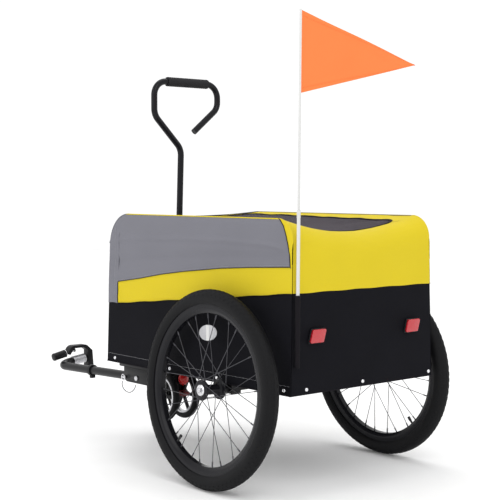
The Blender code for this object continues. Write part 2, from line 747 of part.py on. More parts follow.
def smooth_route(points, steps):
    """A Catmull-Rom curve through the points."""
    points = [Vector(p) for p in points]
    ends = [points[0] * 2 - points[1]] + points + [points[-1] * 2 - points[-2]]
    path = []
    for a, b, c, d in zip(ends, ends[1:], ends[2:], ends[3:]):
        for step in range(steps):
            t = step / steps
            square, cube = 2 * a - 5 * b + 4 * c - d, 3 * b - 3 * c + d - a
            path.append(0.5 * (2 * b + (c - a) * t + square * t**2 + cube * t**3))
    path.append(points[-1])
    return path


def pin_lanyard(trailer):
    """The thin wire that keeps the pull pin on the trailer, hanging in a loop."""
    points = [Vector(point) + Vector((BAR_PIVOT_X, BAR_SIDE, 0)) for point in LANYARD_POINTS]
    wire = tube_curve(smooth_route(points, 3), LANYARD_RADIUS, sides=2)
    return place("pin_lanyard", wire, STEEL, trailer)


def bar_path():
    """The bar's middle line, from its tail behind the pivot to the end of its bend."""
    bend_x = BAR_STRAIGHT + BAR_BEND_RADIUS
    side = Vector((0, -math.cos(BAR_BEND_RISE), math.sin(BAR_BEND_RISE)))
    corner = Vector((bend_x, 0, 0))
    end = corner + side * (BAR_BEND_RADIUS + 0.002)
    return rounded([(-BAR_TAIL, 0, 0), corner, end], [0, BAR_BEND_RADIUS, 0], steps=8), side, end


def drawbar(bar):
    path, _, _ = bar_path()
    tube = as_mesh(place("drawbar", tube_curve(path, BAR_RADIUS, sides=5), BLACK_PAINT, bar))
    hole = rod_mesh((0, -0.03, 0), (0, 0.03, 0), PIVOT_BOLT_RADIUS + GAP, 16)
    return smooth(cut(tube, place("pivot_hole", hole, STEEL, bar)))


def strap_clip(bar):
    """A plastic ring round the bar with a tab below."""
    inner = BAR_RADIUS + GAP
    ring = [(inner, 0.006), (inner, -0.006), (inner + 0.004, -0.006), (inner + 0.004, 0.006)]
    clip = turned("strap_clip", ring, 20, BLACK_PLASTIC, bar, (STRAP_CLIP_X, 0, 0), (0, math.pi / 2, 0))
    low = (STRAP_CLIP_X - 0.006, -0.007, -inner - 0.0105)
    high = (STRAP_CLIP_X + 0.006, 0.007, -inner - 0.0015)
    return join(clip, place("clip_tab", box_mesh(low, high), BLACK_PLASTIC, bar))


def hitch_spring(bar):
    """The coil that lets the hitch flex, as a ribbed sleeve of the coil's outer shape."""
    _, side, start = bar_path()
    pitch = SPRING_LENGTH / SPRING_TURNS
    low, high = SPRING_RADIUS - SPRING_WIRE_RADIUS, SPRING_RADIUS
    profile = [(0.0, SPRING_LENGTH), (low, SPRING_LENGTH)]
    for turn in range(SPRING_TURNS - 1, -1, -1):
        profile += [(high, (turn + 0.75) * pitch), (high, (turn + 0.25) * pitch), (low, turn * pitch)]
    profile += [(0.0, 0.0)]
    turn = Vector((0, 0, 1)).rotation_difference(side).to_euler()
    return turned("hitch_spring", profile, 16, ZINC, bar, start + side * GAP, turn)


def hitch_frame(bar):
    """Its origin is the middle of the spring; X along the trailer, Y to the left, Z up."""
    _, side, start = bar_path()
    middle = start + side * (SPRING_LENGTH / 2)
    return empty("hitch_frame", middle, (0, -BAR_SLOPE, 0), bar)


def jaw_sizes():
    """Places in the hitch frame, across (y) and up (z): the block's faces, the arch and the lug."""
    half = SPRING_LENGTH / 2
    block_left = -half * math.cos(BAR_BEND_RISE) - SPRING_RADIUS * math.sin(BAR_BEND_RISE) - 2 * GAP
    block_right = block_left - 0.020
    arch_under = SPRING_RADIUS + 0.0015 + JAW_GAP
    lug_y = block_left + LUG_REACH
    return block_left, block_right, arch_under, lug_y


def clamp_body(hitch):
    """A steel arch over the jaw: block at the spring's end, curved top, lug for the screw."""
    block_left, block_right, arch_under, lug_y = jaw_sizes()
    thick = 0.0085
    foot = -0.024
    outline = [
        (block_right, foot),
        (block_left, foot),
        (block_left, arch_under - 0.010),
        (block_left + 0.016, arch_under),
        (lug_y - 0.020, arch_under),
        (lug_y - 0.006, arch_under - 0.020),
        (lug_y + 0.005, arch_under - 0.016),
        (lug_y - 0.012, arch_under + thick),
        (block_left + 0.006, arch_under + thick),
        (block_right + 0.004, arch_under - 0.011),
    ]
    radii = [0.002, 0.001, 0.003, 0.010, 0.012, 0.002, 0.002, 0.020, 0.014, 0.003]
    path = rounded([(y, z, 0) for y, z in outline], radii, steps=4, closed=True)
    body = place("clamp_body", flat_curve([[(p.x, p.y) for p in path]], CLAMP_DEPTH), BLACK_PAINT, hitch)
    body.rotation_euler = (math.pi / 2, 0, math.pi / 2)
    body = as_mesh(body)
    _, axis, lug = screw_line()
    hole = rod_mesh(lug - axis * 0.02, lug + axis * 0.02, SCREW_RADIUS + GAP, 16)
    return cut(body, place("screw_hole", hole, STEEL, hitch))


def screw_line():
    """The screw's frame: its turn, its direction into the jaw, and the middle of its lug."""
    _, _, arch_under, lug_y = jaw_sizes()
    axis = Vector((0, -math.cos(SCREW_TILT), math.sin(SCREW_TILT)))
    turn = Vector((0, 0, 1)).rotation_difference(axis).to_euler()
    return turn, axis, Vector((0, lug_y - 0.001, arch_under - LUG_DROP))


def clamp_screw_set(screw):
    """In the screw's frame +Z points into the jaw and the lug's middle is the origin."""
    tip = 0.026
    knob_start = -0.0075
    thread = rod_mesh((0, 0, knob_start - 0.004), (0, 0, tip), SCREW_RADIUS, 16)
    washer = rod_mesh((0, 0, knob_start), (0, 0, knob_start + 0.0018), 0.0125, 20)
    join(place("clamp_screw", thread, STEEL, screw), place("washer", washer, STEEL, screw))
    outer = KNOB_RADIUS
    end = knob_start - GAP - KNOB_LENGTH
    start = knob_start - GAP
    bore = SCREW_RADIUS + GAP
    profile = [
        (bore, start),
        (outer - 0.001, start),
        (outer, start - 0.001),
        (outer, end + 0.002),
        (outer - 0.002, end),
        (0.0, end),
        (0.0, start - 0.0045),
        (bore, start - 0.0045),
    ]
    smooth(turned("clamp_knob", profile, 20, BLACK_PLASTIC, screw))
    return tip


def clamp_pad(screw, tip):
    pad = rod_mesh((0, 0, tip + GAP), (0, 0, tip + 0.0043), 0.0058, 16)
    return place("clamp_pad", pad, RUBBER, screw)


# ---------------------------------------------------------------- castor and handle
def castor_bracket(trailer):
    """Two arms from the front of the frame to the head tube that the castor turns in."""
    inner = STEERER_RADIUS + GAP
    profile = [
        (HEAD_TUBE_RADIUS, HEAD_TUBE_TOP),
        (HEAD_TUBE_RADIUS, HEAD_TUBE_BOTTOM),
        (inner, HEAD_TUBE_BOTTOM),
        (inner, HEAD_TUBE_TOP),
    ]
    head = turned("castor_bracket", profile, 24, BLACK_PAINT, trailer, (STEER_X, STEER_Y, 0))
    arm_top = BOX_BOTTOM - 0.0008
    arm_low = (CROSS_MEMBERS[-1] - 0.010, STEER_Y - 0.017, arm_top - 0.018)
    arm_high = (STEER_X - 0.0125, STEER_Y + 0.017, arm_top)
    join(head, place("arm", box_mesh(arm_low, arm_high), BLACK_PAINT, trailer))
    for x in (CROSS_MEMBERS[-1], FRAME_FRONT):
        low = (x - 0.009, STEER_Y - 0.016, arm_top - 0.004)
        high = (x + 0.009, STEER_Y + 0.016, FRAME_BOTTOM - GAP)
        join(head, place("arm_pad", box_mesh(low, high), BLACK_PAINT, trailer))
    return head


def castor_fork(castor):
    """Steerer tube, round crown and the block between the two wheels. Origin on the ground."""
    tine = 0.020
    outline = [
        (-0.022, 0.196),
        (-0.024, 0.160),
        (CASTOR_TRAIL - 0.020, CASTOR_AXLE_Z - 0.012),
        (CASTOR_TRAIL + 0.014, CASTOR_AXLE_Z - 0.014),
        (CASTOR_TRAIL + 0.016, CASTOR_AXLE_Z + 0.014),
        (0.024, 0.178),
        (0.022, 0.196),
    ]
    radii = [0.004, 0.01, 0.010, 0.012, 0.010, 0.01, 0.004]
    path = rounded([(x, z, 0) for x, z in outline], radii, steps=3, closed=True)
    block = place("castor_fork", flat_curve([[(p.x, p.y) for p in path]], 2 * tine), BLACK_PLASTIC, castor)
    block.rotation_euler = (math.pi / 2, 0, 0)
    fork = as_mesh(block)
    steerer = rod_mesh((0, 0, 0.19), (0, 0, HANDLE_PIVOT_Z - 0.022), STEERER_RADIUS, 20)
    crown = rod_mesh((0, 0, 0.185), (0, 0, HEAD_TUBE_BOTTOM - GAP), 0.024, 24)
    join(fork, place("steerer", steerer, BLACK_PAINT, castor), place("crown", crown, BLACK_PLASTIC, castor))
    yoke_low = (-0.011, -HANDLE_TUBE_RADIUS - 0.0042, HANDLE_PIVOT_Z - 0.030)
    yoke_high = (0.011, HANDLE_TUBE_RADIUS + 0.0042, HANDLE_PIVOT_Z - HANDLE_TAIL - 0.006)
    join(fork, place("yoke", box_mesh(yoke_low, yoke_high), BLACK_PAINT, castor))
    for side in (-1, 1):
        ends = sorted((side * (HANDLE_TUBE_RADIUS + 0.0012), side * (HANDLE_TUBE_RADIUS + 0.0042)))
        low = (-0.011, ends[0], HANDLE_PIVOT_Z - 0.029)
        high = (0.011, ends[1], HANDLE_PIVOT_Z + 0.010)
        join(fork, place("ear", box_mesh(low, high), BLACK_PAINT, castor))
    y = HANDLE_TUBE_RADIUS + 0.02
    pin_hole = rod_mesh((0, -y, HANDLE_PIVOT_Z), (0, y, HANDLE_PIVOT_Z), 0.003 + GAP, 12)
    ends = ((CASTOR_TRAIL, -0.03, CASTOR_AXLE_Z), (CASTOR_TRAIL, 0.03, CASTOR_AXLE_Z))
    axle_hole = rod_mesh(*ends, CASTOR_AXLE_RADIUS + GAP, 16)
    low, high = (-0.05, -0.0135, CASTOR_AXLE_Z - 0.004), (-0.004, 0.0135, CASTOR_AXLE_Z + 0.020)
    brake_slot = box_mesh(low, high)
    lock_slot = box_mesh((-0.05, -0.0065, 0.168), (-0.012, 0.0065, 0.184))
    return cut(
        fork,
        place("pin_hole", pin_hole, STEEL, castor),
        place("axle_hole", axle_hole, STEEL, castor),
        place("brake_slot", brake_slot, STEEL, castor),
        place("lock_slot", lock_slot, STEEL, castor),
    )


def castor_axle(castor):
    reach = CASTOR_SPREAD + 0.016

    def across(start, end, radius):
        ends = ((CASTOR_TRAIL, start, CASTOR_AXLE_Z), (CASTOR_TRAIL, end, CASTOR_AXLE_Z))
        return rod_mesh(*ends, radius, 14)

    axle = place("castor_axle", across(-reach, reach, CASTOR_AXLE_RADIUS), STEEL, castor)
    for side in (-1, 1):
        cap = across(side * (CASTOR_SPREAD + 0.0115), side * (CASTOR_SPREAD + 0.0165), 0.008)
        join(axle, place("axle_cap", cap, STEEL, castor))
    return axle


def castor_wheel(name, hub_frame):
    """A small wheel with six spokes and a solid tyre, turning about its own Z."""
    tyre_inner = CASTOR_RADIUS - 2 * CASTOR_TYRE_RADIUS + 0.003
    rim_outer = tyre_inner - GAP
    rim = [(rim_outer, 0.008), (rim_outer, -0.008), (rim_outer - 0.006, -0.008), (rim_outer - 0.006, 0.008)]
    bore = CASTOR_AXLE_RADIUS + GAP
    hub = [(0.013, 0.011), (0.013, -0.011), (bore, -0.011), (bore, 0.011)]
    wheel = turned(name + "_wheel", rim, 30, ZINC, hub_frame)
    join(wheel, turned("hub", hub, 20, BLACK_PLASTIC, hub_frame))
    for index in range(6):
        angle = index * math.pi / 3
        spoke = box_mesh((0.010, -0.0045, -0.005), (rim_outer - 0.003, 0.0045, 0.005))
        join(wheel, place("spoke", spoke, BLACK_PLASTIC, hub_frame, turn=(0, 0, angle)))
    middle = CASTOR_RADIUS - CASTOR_TYRE_RADIUS
    turned(name + "_tyre", tyre_profile(middle, CASTOR_TYRE_RADIUS, tyre_inner, 9), 30, RUBBER, hub_frame)


def tyre_profile(middle, radius, inner, count):
    """A round section with a flat where it sits on the rim, outer side top to bottom."""
    start = math.acos((inner - middle) / radius)
    profile = []
    for index in range(count):
        angle = start - 2 * start * index / (count - 1)
        profile.append((middle + radius * math.cos(angle), radius * math.sin(angle)))
    return profile


def castor_brake(castor):
    """The foot lever between the wheels, on its own small pivot."""
    frame = empty("brake_frame", (-0.012, 0, CASTOR_AXLE_Z + 0.008), (0, 0, 0), castor)
    outline = [(-0.036, -0.006), (0.005, -0.005), (0.005, 0.006), (-0.016, 0.010), (-0.036, 0.006)]
    path = rounded([(x, z, 0) for x, z in outline], [0.004, 0.004, 0.004, 0.01, 0.004], steps=3, closed=True)
    lever = place("castor_brake", flat_curve([[(p.x, p.y) for p in path]], 0.026), RED_PLASTIC, frame)
    lever.rotation_euler = (math.pi / 2, 0, 0)
    return bevel(as_mesh(lever), 0.0015)


def swivel_lock(castor):
    """The domed pull knob above it; its plunger keeps the castor straight."""
    frame = empty("lock_frame", (-0.0165, 0, 0.176), (0, 0, 0), castor)
    plunger = box_mesh((-0.012, -0.006, -0.0055), (0.003, 0.006, 0.0055))
    stem = place("swivel_lock", plunger, RED_PLASTIC, frame)
    work = bmesh.new()
    bmesh.ops.create_uvsphere(work, u_segments=16, v_segments=10, radius=0.5)
    bmesh.ops.scale(work, vec=(0.026, 0.034, 0.036), verts=work.verts)
    dome = bpy.data.meshes.new("dome")
    work.to_mesh(dome)
    work.free()
    return join(stem, place("lock_dome", dome, RED_PLASTIC, frame, (-0.021, 0.004, 0.002)))


def handle_path():
    """The pull handle in its own plane: a leaning stem, then a flattened open loop."""
    lean = 0.018
    stem_top = HANDLE_TOP - 0.199
    corners = [
        (0, 0, -HANDLE_TAIL),
        (0, -lean, stem_top - HANDLE_PIVOT_Z),
        (0, lean + 0.062, stem_top + 0.099 - HANDLE_PIVOT_Z),
        (0, lean + 0.062, HANDLE_TOP - HANDLE_PIVOT_Z),
        (0, -lean - 0.140, HANDLE_TOP - HANDLE_PIVOT_Z),
        (0, -lean - 0.140, HANDLE_TOP - 0.072 - HANDLE_PIVOT_Z),
        (0, -lean - 0.049, HANDLE_TOP - 0.146 - HANDLE_PIVOT_Z),
    ]
    return rounded(corners, [0, 0.045, 0.045, 0.042, 0.042, 0.040, 0], steps=5)


def handle(tilt):
    stem = tube_curve(handle_path(), HANDLE_TUBE_RADIUS, sides=3)
    tube = as_mesh(place("handle_tube", stem, BLACK_PAINT, tilt))
    hole = rod_mesh((0, -0.02, 0), (0, 0.02, 0), 0.003 + GAP, 12)
    cut(tube, place("handle_pin_hole", hole, STEEL, tilt))
    inner = HANDLE_TUBE_RADIUS + GAP
    outer = GRIP_RADIUS
    length = GRIP_LEFT - GRIP_RIGHT
    profile = [(outer, length - 0.002), (outer, 0.002), (outer - 0.002, 0), (inner, 0), (inner, length)]
    profile += [(outer - 0.002, length)]
    where = (0, GRIP_RIGHT - STEER_Y, HANDLE_TOP - HANDLE_PIVOT_Z)
    turned("handle_grip", profile, 20, FOAM, tilt, where, (-math.pi / 2, 0, 0))


def handle_pin(castor):
    reach = HANDLE_TUBE_RADIUS + 0.0075
    shank = rod_mesh((0, -reach, HANDLE_PIVOT_Z), (0, reach, HANDLE_PIVOT_Z), 0.003, 12)
    pin = place("handle_pin", shank, STEEL, castor)
    for side in (-1, 1):
        near = HANDLE_TUBE_RADIUS + 0.0042 + GAP
        ends = ((0, side * near, HANDLE_PIVOT_Z), (0, side * (near + 0.003), HANDLE_PIVOT_Z))
        cap = rod_mesh(*ends, 0.0055, 12)
        join(pin, place("pin_head", cap, STEEL, castor))
    return pin


# ---------------------------------------------------------------- wheels
def hub_with_spokes(name, wheel):
    bore = AXLE_RADIUS + GAP
    flange, thick, barrel = HUB_FLANGE_RADIUS, HUB_FLANGE_THICKNESS, HUB_BARREL_RADIUS
    profile = [
        (bore, HUB_OUTER_END),
        (flange - 0.001, HUB_OUTER_END),
        (flange, HUB_OUTER_END - 0.001),
        (flange, HUB_OUTER_END - thick),
        (barrel, HUB_OUTER_END - thick - 0.005),
        (barrel, HUB_INNER_END + thick + 0.008),
        (flange, HUB_INNER_END + thick + 0.003),
        (flange, HUB_INNER_END + 0.004),
        (barrel, HUB_INNER_END + 0.002),
        (barrel, HUB_INNER_END),
        (bore, HUB_INNER_END),
    ]
    hub = turned(name, profile, 24, BLACK_PAINT, wheel)
    work = bmesh.new()
    for index in range(SPOKE_COUNT):
        rim_angle = math.radians(-96.4) + index * 2 * math.pi / SPOKE_COUNT
        outer_side = index % 2 == 0
        leading = (index // 2) % 2 == 0
        hub_angle = rim_angle + (SPOKE_CROSSING if leading else -SPOKE_CROSSING)
        flange_z = HUB_OUTER_END - thick / 2 if outer_side else HUB_INNER_END + 0.0055
        flange_z += 0.0016 if leading else -0.0016
        start = Vector((math.cos(hub_angle), math.sin(hub_angle), 0)) * (flange - 0.003)
        end = Vector((math.cos(rim_angle), math.sin(rim_angle), 0)) * (RIM_INNER_RADIUS - 4 * GAP)
        start.z, end.z = flange_z, 0.003 if outer_side else -0.003
        piece = rod_mesh(start, end, SPOKE_RADIUS, 5)
        work.from_mesh(piece)
        bpy.data.meshes.remove(piece)
    spokes = bpy.data.meshes.new("spokes")
    work.to_mesh(spokes)
    work.free()
    return join(hub, place("spokes", spokes, STEEL, wheel))


def main_wheel(side_name, wheel):
    """Tyre, rim with its valve, laced hub and clip-on reflector, all turning about the axle."""
    tyre_inner = RIM_OUTER_RADIUS + GAP
    middle = WHEEL_RADIUS - TYRE_RADIUS
    section = tyre_profile(middle, TYRE_RADIUS, tyre_inner, 11)
    smooth(turned(side_name + "_tyre", section, 44, RUBBER, wheel), 60)
    half = RIM_HALF_WIDTH
    bed = RIM_OUTER_RADIUS - 0.011
    profile = [
        (RIM_OUTER_RADIUS, half),
        (RIM_OUTER_RADIUS, -half),
        (bed, -half),
        (RIM_INNER_RADIUS, -half + 0.006),
        (RIM_INNER_RADIUS, half - 0.006),
        (bed, half),
    ]
    rim = turned(side_name + "_rim", profile, 44, BLACK_PAINT, wheel)
    direction = Vector((math.cos(VALVE_ANGLE), math.sin(VALVE_ANGLE), 0))
    outer = RIM_INNER_RADIUS + 0.004
    stem = rod_mesh(direction * (outer - VALVE_LENGTH), direction * outer, 0.0042, 10)
    join(rim, place("valve", stem, RUBBER, wheel))
    hub_with_spokes(side_name + "_hub", wheel)
    spoke_reflector(side_name + "_spoke_reflector", wheel)


def spoke_reflector(name, wheel):
    """A clear oval between the two sets of spokes."""
    outline = []
    for index in range(20):
        angle = index * math.pi / 10
        outline.append((REFLECTOR_HEIGHT / 2 * math.cos(angle), REFLECTOR_LENGTH / 2 * math.sin(angle)))
    made = place(name, flat_curve([outline], 0.0028), CLEAR_LENS, wheel)
    along = REFLECTOR_PLACE_RADIUS
    made.location = (along * math.cos(REFLECTOR_ANGLE), along * math.sin(REFLECTOR_ANGLE), 0)
    made.rotation_euler = (0, 0, REFLECTOR_ANGLE)
    return as_mesh(made)


def stub_axle(name, wheel):
    """The quick-release axle: shank in the bracket, bright cap outside the hub."""
    shank = rod_mesh((0, 0, HUB_INNER_END - 0.022), (0, 0, HUB_OUTER_END + 0.001), AXLE_RADIUS, 18)
    axle = place(name, shank, STEEL, wheel)
    near = HUB_OUTER_END + GAP
    cap = rod_mesh((0, 0, near), (0, 0, near + AXLE_CAP_THICKNESS), AXLE_CAP_RADIUS, 24)
    bore = rod_mesh((0, 0, HUB_OUTER_END - 0.014), (0, 0, near + 0.02), 0.003 + GAP, 14)
    join(axle, place("axle_cap", cap, STEEL, wheel))
    return cut(axle, place("button_bore", bore, STEEL, wheel))


def release_button(name, wheel):
    face = HUB_OUTER_END + GAP + AXLE_CAP_THICKNESS + BUTTON_TRAVEL + GAP
    frame = empty(name + "_frame", (0, 0, face), (0, 0, 0), wheel)
    stem = rod_mesh((0, 0, -0.012), (0, 0, 0.001), 0.003, 14)
    button = place(name, stem, STEEL, frame)
    head = rod_mesh((0, 0, 0), (0, 0, 0.003), 0.0072, 18, end_radius=0.0062)
    return join(button, place("button_head", head, STEEL, frame))


# ---------------------------------------------------------------- the whole trailer
def build():
    trailer = empty("trailer", (-MIDDLE_X, 0, 0))
    base_frame(trailer)
    floor_panel(trailer)
    axle_tube(trailer)
    side_hoop("left_hoop", 1, trailer)
    side_hoop("right_hoop", -1, trailer)
    front_top_bar(trailer)
    side_panel("left_panel", 1, trailer)
    side_panel("right_panel", -1, trailer)
    front_panel(trailer)
    rear_panel(trailer)
    cover_hinge_x = REAR_TOP_X + REAR_CORNER_RADIUS + CORNER_OVERLAP
    cover = empty("cover_hinge", (cover_hinge_x, 0, BOX_TOP + 0.002), parent=trailer)
    top_cover(cover)
    mesh_window(cover)
    for side in (1, -1):
        tail_reflector(side, trailer)
        side_name = "left" if side > 0 else "right"
        wheel = wheel_frame(side_name + "_wheel_frame", side, trailer)
        axle_bracket(side_name + "_axle_bracket", side, trailer, wheel)
        main_wheel(side_name, wheel)
        stub_axle(side_name + "_stub_axle", wheel)
        release_button(side_name + "_release_button", wheel)
    flag = empty("flag_frame", (FLAG_X, FLAG_Y, POCKET_BOTTOM), (FLAG_LEAN, 0, 0), trailer)
    flag_set(trailer, flag)
    drawbar_receiver(trailer)
    pivot_bolt(trailer)
    lock_pin(trailer)
    pin_lanyard(trailer)
    bar = empty("drawbar_frame", (BAR_PIVOT_X, BAR_SIDE, BAR_PIVOT_Z), (0, BAR_SLOPE, 0), trailer)
    drawbar(bar)
    strap_clip(bar)
    hitch_spring(bar)
    hitch = hitch_frame(bar)
    clamp_body(hitch)
    turn, _, lug = screw_line()
    screw = empty("clamp_screw_frame", lug, turn, hitch)
    clamp_pad(screw, clamp_screw_set(screw))
    castor_bracket(trailer)
    castor = empty("castor_frame", (STEER_X, STEER_Y, 0), parent=trailer)
    castor_fork(castor)
    castor_axle(castor)
    for side in (1, -1):
        side_name = "castor_left" if side > 0 else "castor_right"
        at = (CASTOR_TRAIL, side * CASTOR_SPREAD, CASTOR_AXLE_Z)
        castor_wheel(side_name, empty(side_name + "_frame", at, (math.pi / 2, 0, 0), castor))
    castor_brake(castor)
    swivel_lock(castor)
    handle_pin(castor)
    tilt = empty("handle_tilt_frame", (0, 0, HANDLE_PIVOT_Z), parent=castor)
    handle(tilt)


build()
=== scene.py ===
# %% [markdown]
# # Two-wheel cargo trailer and hand cart
# The trailer is a fabric box on a steel tube frame. It has two spoked wheels, a drawbar with a
# spring hitch on the left, a twin steering castor with a pull handle in front, and a pennant on a
# pole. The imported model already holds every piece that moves. The cells below dress it: each one
# makes or finishes one kind of piece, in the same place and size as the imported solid.

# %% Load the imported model
import json
import math

import bmesh
import bpy
from mathutils import Matrix, Vector, noise


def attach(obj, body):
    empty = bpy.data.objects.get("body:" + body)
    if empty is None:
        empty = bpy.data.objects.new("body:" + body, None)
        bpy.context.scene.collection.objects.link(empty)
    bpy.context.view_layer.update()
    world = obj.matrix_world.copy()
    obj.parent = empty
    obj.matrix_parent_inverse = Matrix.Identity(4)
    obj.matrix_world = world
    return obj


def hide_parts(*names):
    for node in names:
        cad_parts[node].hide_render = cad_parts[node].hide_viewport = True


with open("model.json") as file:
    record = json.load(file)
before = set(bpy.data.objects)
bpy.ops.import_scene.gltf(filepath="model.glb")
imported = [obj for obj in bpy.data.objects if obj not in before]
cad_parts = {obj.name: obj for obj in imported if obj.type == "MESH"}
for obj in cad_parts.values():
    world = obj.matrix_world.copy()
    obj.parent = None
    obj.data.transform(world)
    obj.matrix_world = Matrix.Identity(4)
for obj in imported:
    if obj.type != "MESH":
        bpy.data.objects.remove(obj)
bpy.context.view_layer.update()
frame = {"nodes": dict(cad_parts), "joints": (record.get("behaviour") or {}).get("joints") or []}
JOINTS = {joint["name"]: joint for joint in frame["joints"]}
AXLE = Vector(JOINTS["left_wheel_spin"]["pos_m"])
AXLE_X = AXLE.x
print("pieces in the packed model:", len(frame["nodes"]))

# %% [markdown]
# ## Camera, light and floor
# The camera stands behind the trailer on its left, low and far away, with a long lens, so that
# the box keeps almost parallel edges. A product is shown on a pale floor that runs into a pale
# background. Three large soft lamps give the fabric and the black tubes gentle gradients.


# %% Camera, lamps and floor
def at(x, y, z):
    """A point counted from the axle's middle line, on the ground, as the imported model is."""
    return Vector((x + AXLE_X, y, z))


def look(obj, target):
    """Turns a camera or lamp so that it faces a point."""
    obj.rotation_euler = (Vector(target) - obj.location).to_track_quat("-Z", "Y").to_euler()


camera = bpy.data.objects.new("camera", bpy.data.cameras.new("camera"))
bpy.context.scene.collection.objects.link(camera)
camera.location = at(-2.294, 2.127, 0.756)
look(camera, camera.location + Vector((0.7601, -0.6476, -0.0537)))
camera.data.lens = 85.14
camera.data.sensor_width = 36.0
camera.data.clip_start = 0.05
bpy.context.scene.camera = camera


def soft_lamp(name, place, target, size, watts):
    lamp = bpy.data.objects.new(name, bpy.data.lights.new(name, "AREA"))
    lamp.data.shape = "DISK"
    lamp.data.size = size
    lamp.data.energy = watts
    lamp.location = place
    bpy.context.scene.collection.objects.link(lamp)
    look(lamp, target)


soft_lamp("key_lamp", at(-2.6, 1.0, 3.2), at(0.1, 0, 0.4), 2.2, 26)
soft_lamp("left_lamp", at(0.4, 3.6, 2.0), at(0.1, 0, 0.4), 2.4, 22)
soft_lamp("top_lamp", at(0.6, -0.8, 3.8), at(0.1, 0, 0.4), 3.0, 22)

world = bpy.data.worlds.new("studio")
bpy.context.scene.world = world
world.use_nodes = True
world.node_tree.nodes["Background"].inputs["Color"].default_value = (1, 1, 1, 1)
world.node_tree.nodes["Background"].inputs["Strength"].default_value = 1.06
bpy.context.scene.view_settings.view_transform = "Standard"
print("camera lens:", camera.data.lens, "mm")


# %% [markdown]
# ## Small tools
# Most pieces start as a primitive that is shaped in edit mode and then finished with modifiers
# that are applied. These helpers keep that short: they select by place, add a modifier and apply
# it, or shape an outline that is spun, extruded or swept.


# %% Selecting, applying and placing
def only(obj):
    """Leaves edit mode and selects this object alone."""
    if bpy.context.mode != "OBJECT":
        bpy.ops.object.mode_set(mode="OBJECT")
    bpy.ops.object.select_all(action="DESELECT")
    obj.select_set(True)
    bpy.context.view_layer.objects.active = obj
    return obj


def edit(obj, kind="FACE"):
    only(obj)
    bpy.ops.object.mode_set(mode="EDIT")
    bpy.ops.mesh.select_mode(type=kind)
    bpy.ops.mesh.select_all(action="DESELECT")


def pick(obj, kind, test):
    """Selects the faces, edges or vertices of which test(middle point) holds."""
    shape = bmesh.from_edit_mesh(obj.data)
    for item in {"FACE": shape.faces, "EDGE": shape.edges, "VERT": shape.verts}[kind]:
        points = [item.co] if kind == "VERT" else [vert.co for vert in item.verts]
        if test(sum(points, Vector()) / len(points)):
            item.select_set(True)
    shape.select_flush_mode()
    bmesh.update_edit_mesh(obj.data)


def done_editing():
    bpy.ops.object.mode_set(mode="OBJECT")


def apply_modifier(obj, kind, **settings):
    only(obj)
    step = obj.modifiers.new(kind.lower(), kind)
    for name, value in settings.items():
        setattr(step, name, value)
    bpy.ops.object.modifier_apply(modifier=step.name)
    return obj


def seat(obj, matrix=None):
    """Puts the object's place into its mesh, after an optional move to a local frame."""
    if matrix is not None:
        obj.matrix_world = matrix @ obj.matrix_world
    only(obj)
    bpy.ops.object.transform_apply(location=True, rotation=True, scale=True)
    return obj


def tidy_mesh(obj, merge=0.00001):
    edit(obj, "VERT")
    bpy.ops.mesh.select_all(action="SELECT")
    bpy.ops.mesh.remove_doubles(threshold=merge)
    bpy.ops.mesh.normals_make_consistent(inside=False)
    done_editing()
    return obj


def merge_into(first, *others):
    only(first)
    for other in others:
        other.select_set(True)
    bpy.ops.object.join()
    return first


def finish(obj, name, material, body, slot, replaces=(), angle=35):
    """Names the piece, gives it its finish, shades it smooth and lets it ride on its body."""
    obj.name = name
    obj.data.name = name
    only(obj)
    if obj.type == "MESH":
        bpy.ops.object.shade_smooth_by_angle(angle=math.radians(angle))
    obj.data.materials.clear()
    obj.data.materials.append(material)
    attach(obj, body)
    if replaces:
        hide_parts(*replaces)
    return obj


print("helpers:", only.__name__, pick.__name__, seat.__name__, finish.__name__)

# %% [markdown]
# ## From an outline to a solid
# Turned pieces, such as hubs and bolts, are one outline spun about an axis. Flat pieces, such as
# fork cheeks, are a filled outline with thickness. Tubes are a round profile carried along a line.
# Each of the three has one helper here, so that a piece is told by its outline alone.


# %% Outlines that are rounded, spun, extruded or swept
def rounded(points, radii, steps=6, closed=False):
    """The corners of a polyline replaced by arcs."""
    points = [Vector(point) for point in points]
    path = []
    for index, point in enumerate(points):
        inner = closed or 0 < index < len(points) - 1
        if not inner or radii[index] <= 0:
            path.append(point)
            continue
        before = (points[index - 1] - point).normalized()
        after = (points[(index + 1) % len(points)] - point).normalized()
        half = before.angle(after) / 2
        reach = radii[index] / math.tan(half)
        centre = point + (before + after).normalized() * (radii[index] / math.sin(half))
        start, end = point + before * reach - centre, point + after * reach - centre
        sweep_angle = start.angle(end)
        for step in range(steps + 1):
            first = math.sin((1 - step / steps) * sweep_angle) / math.sin(sweep_angle)
            last = math.sin(step / steps * sweep_angle) / math.sin(sweep_angle)
            path.append(centre + start * first + end * last)
    return path


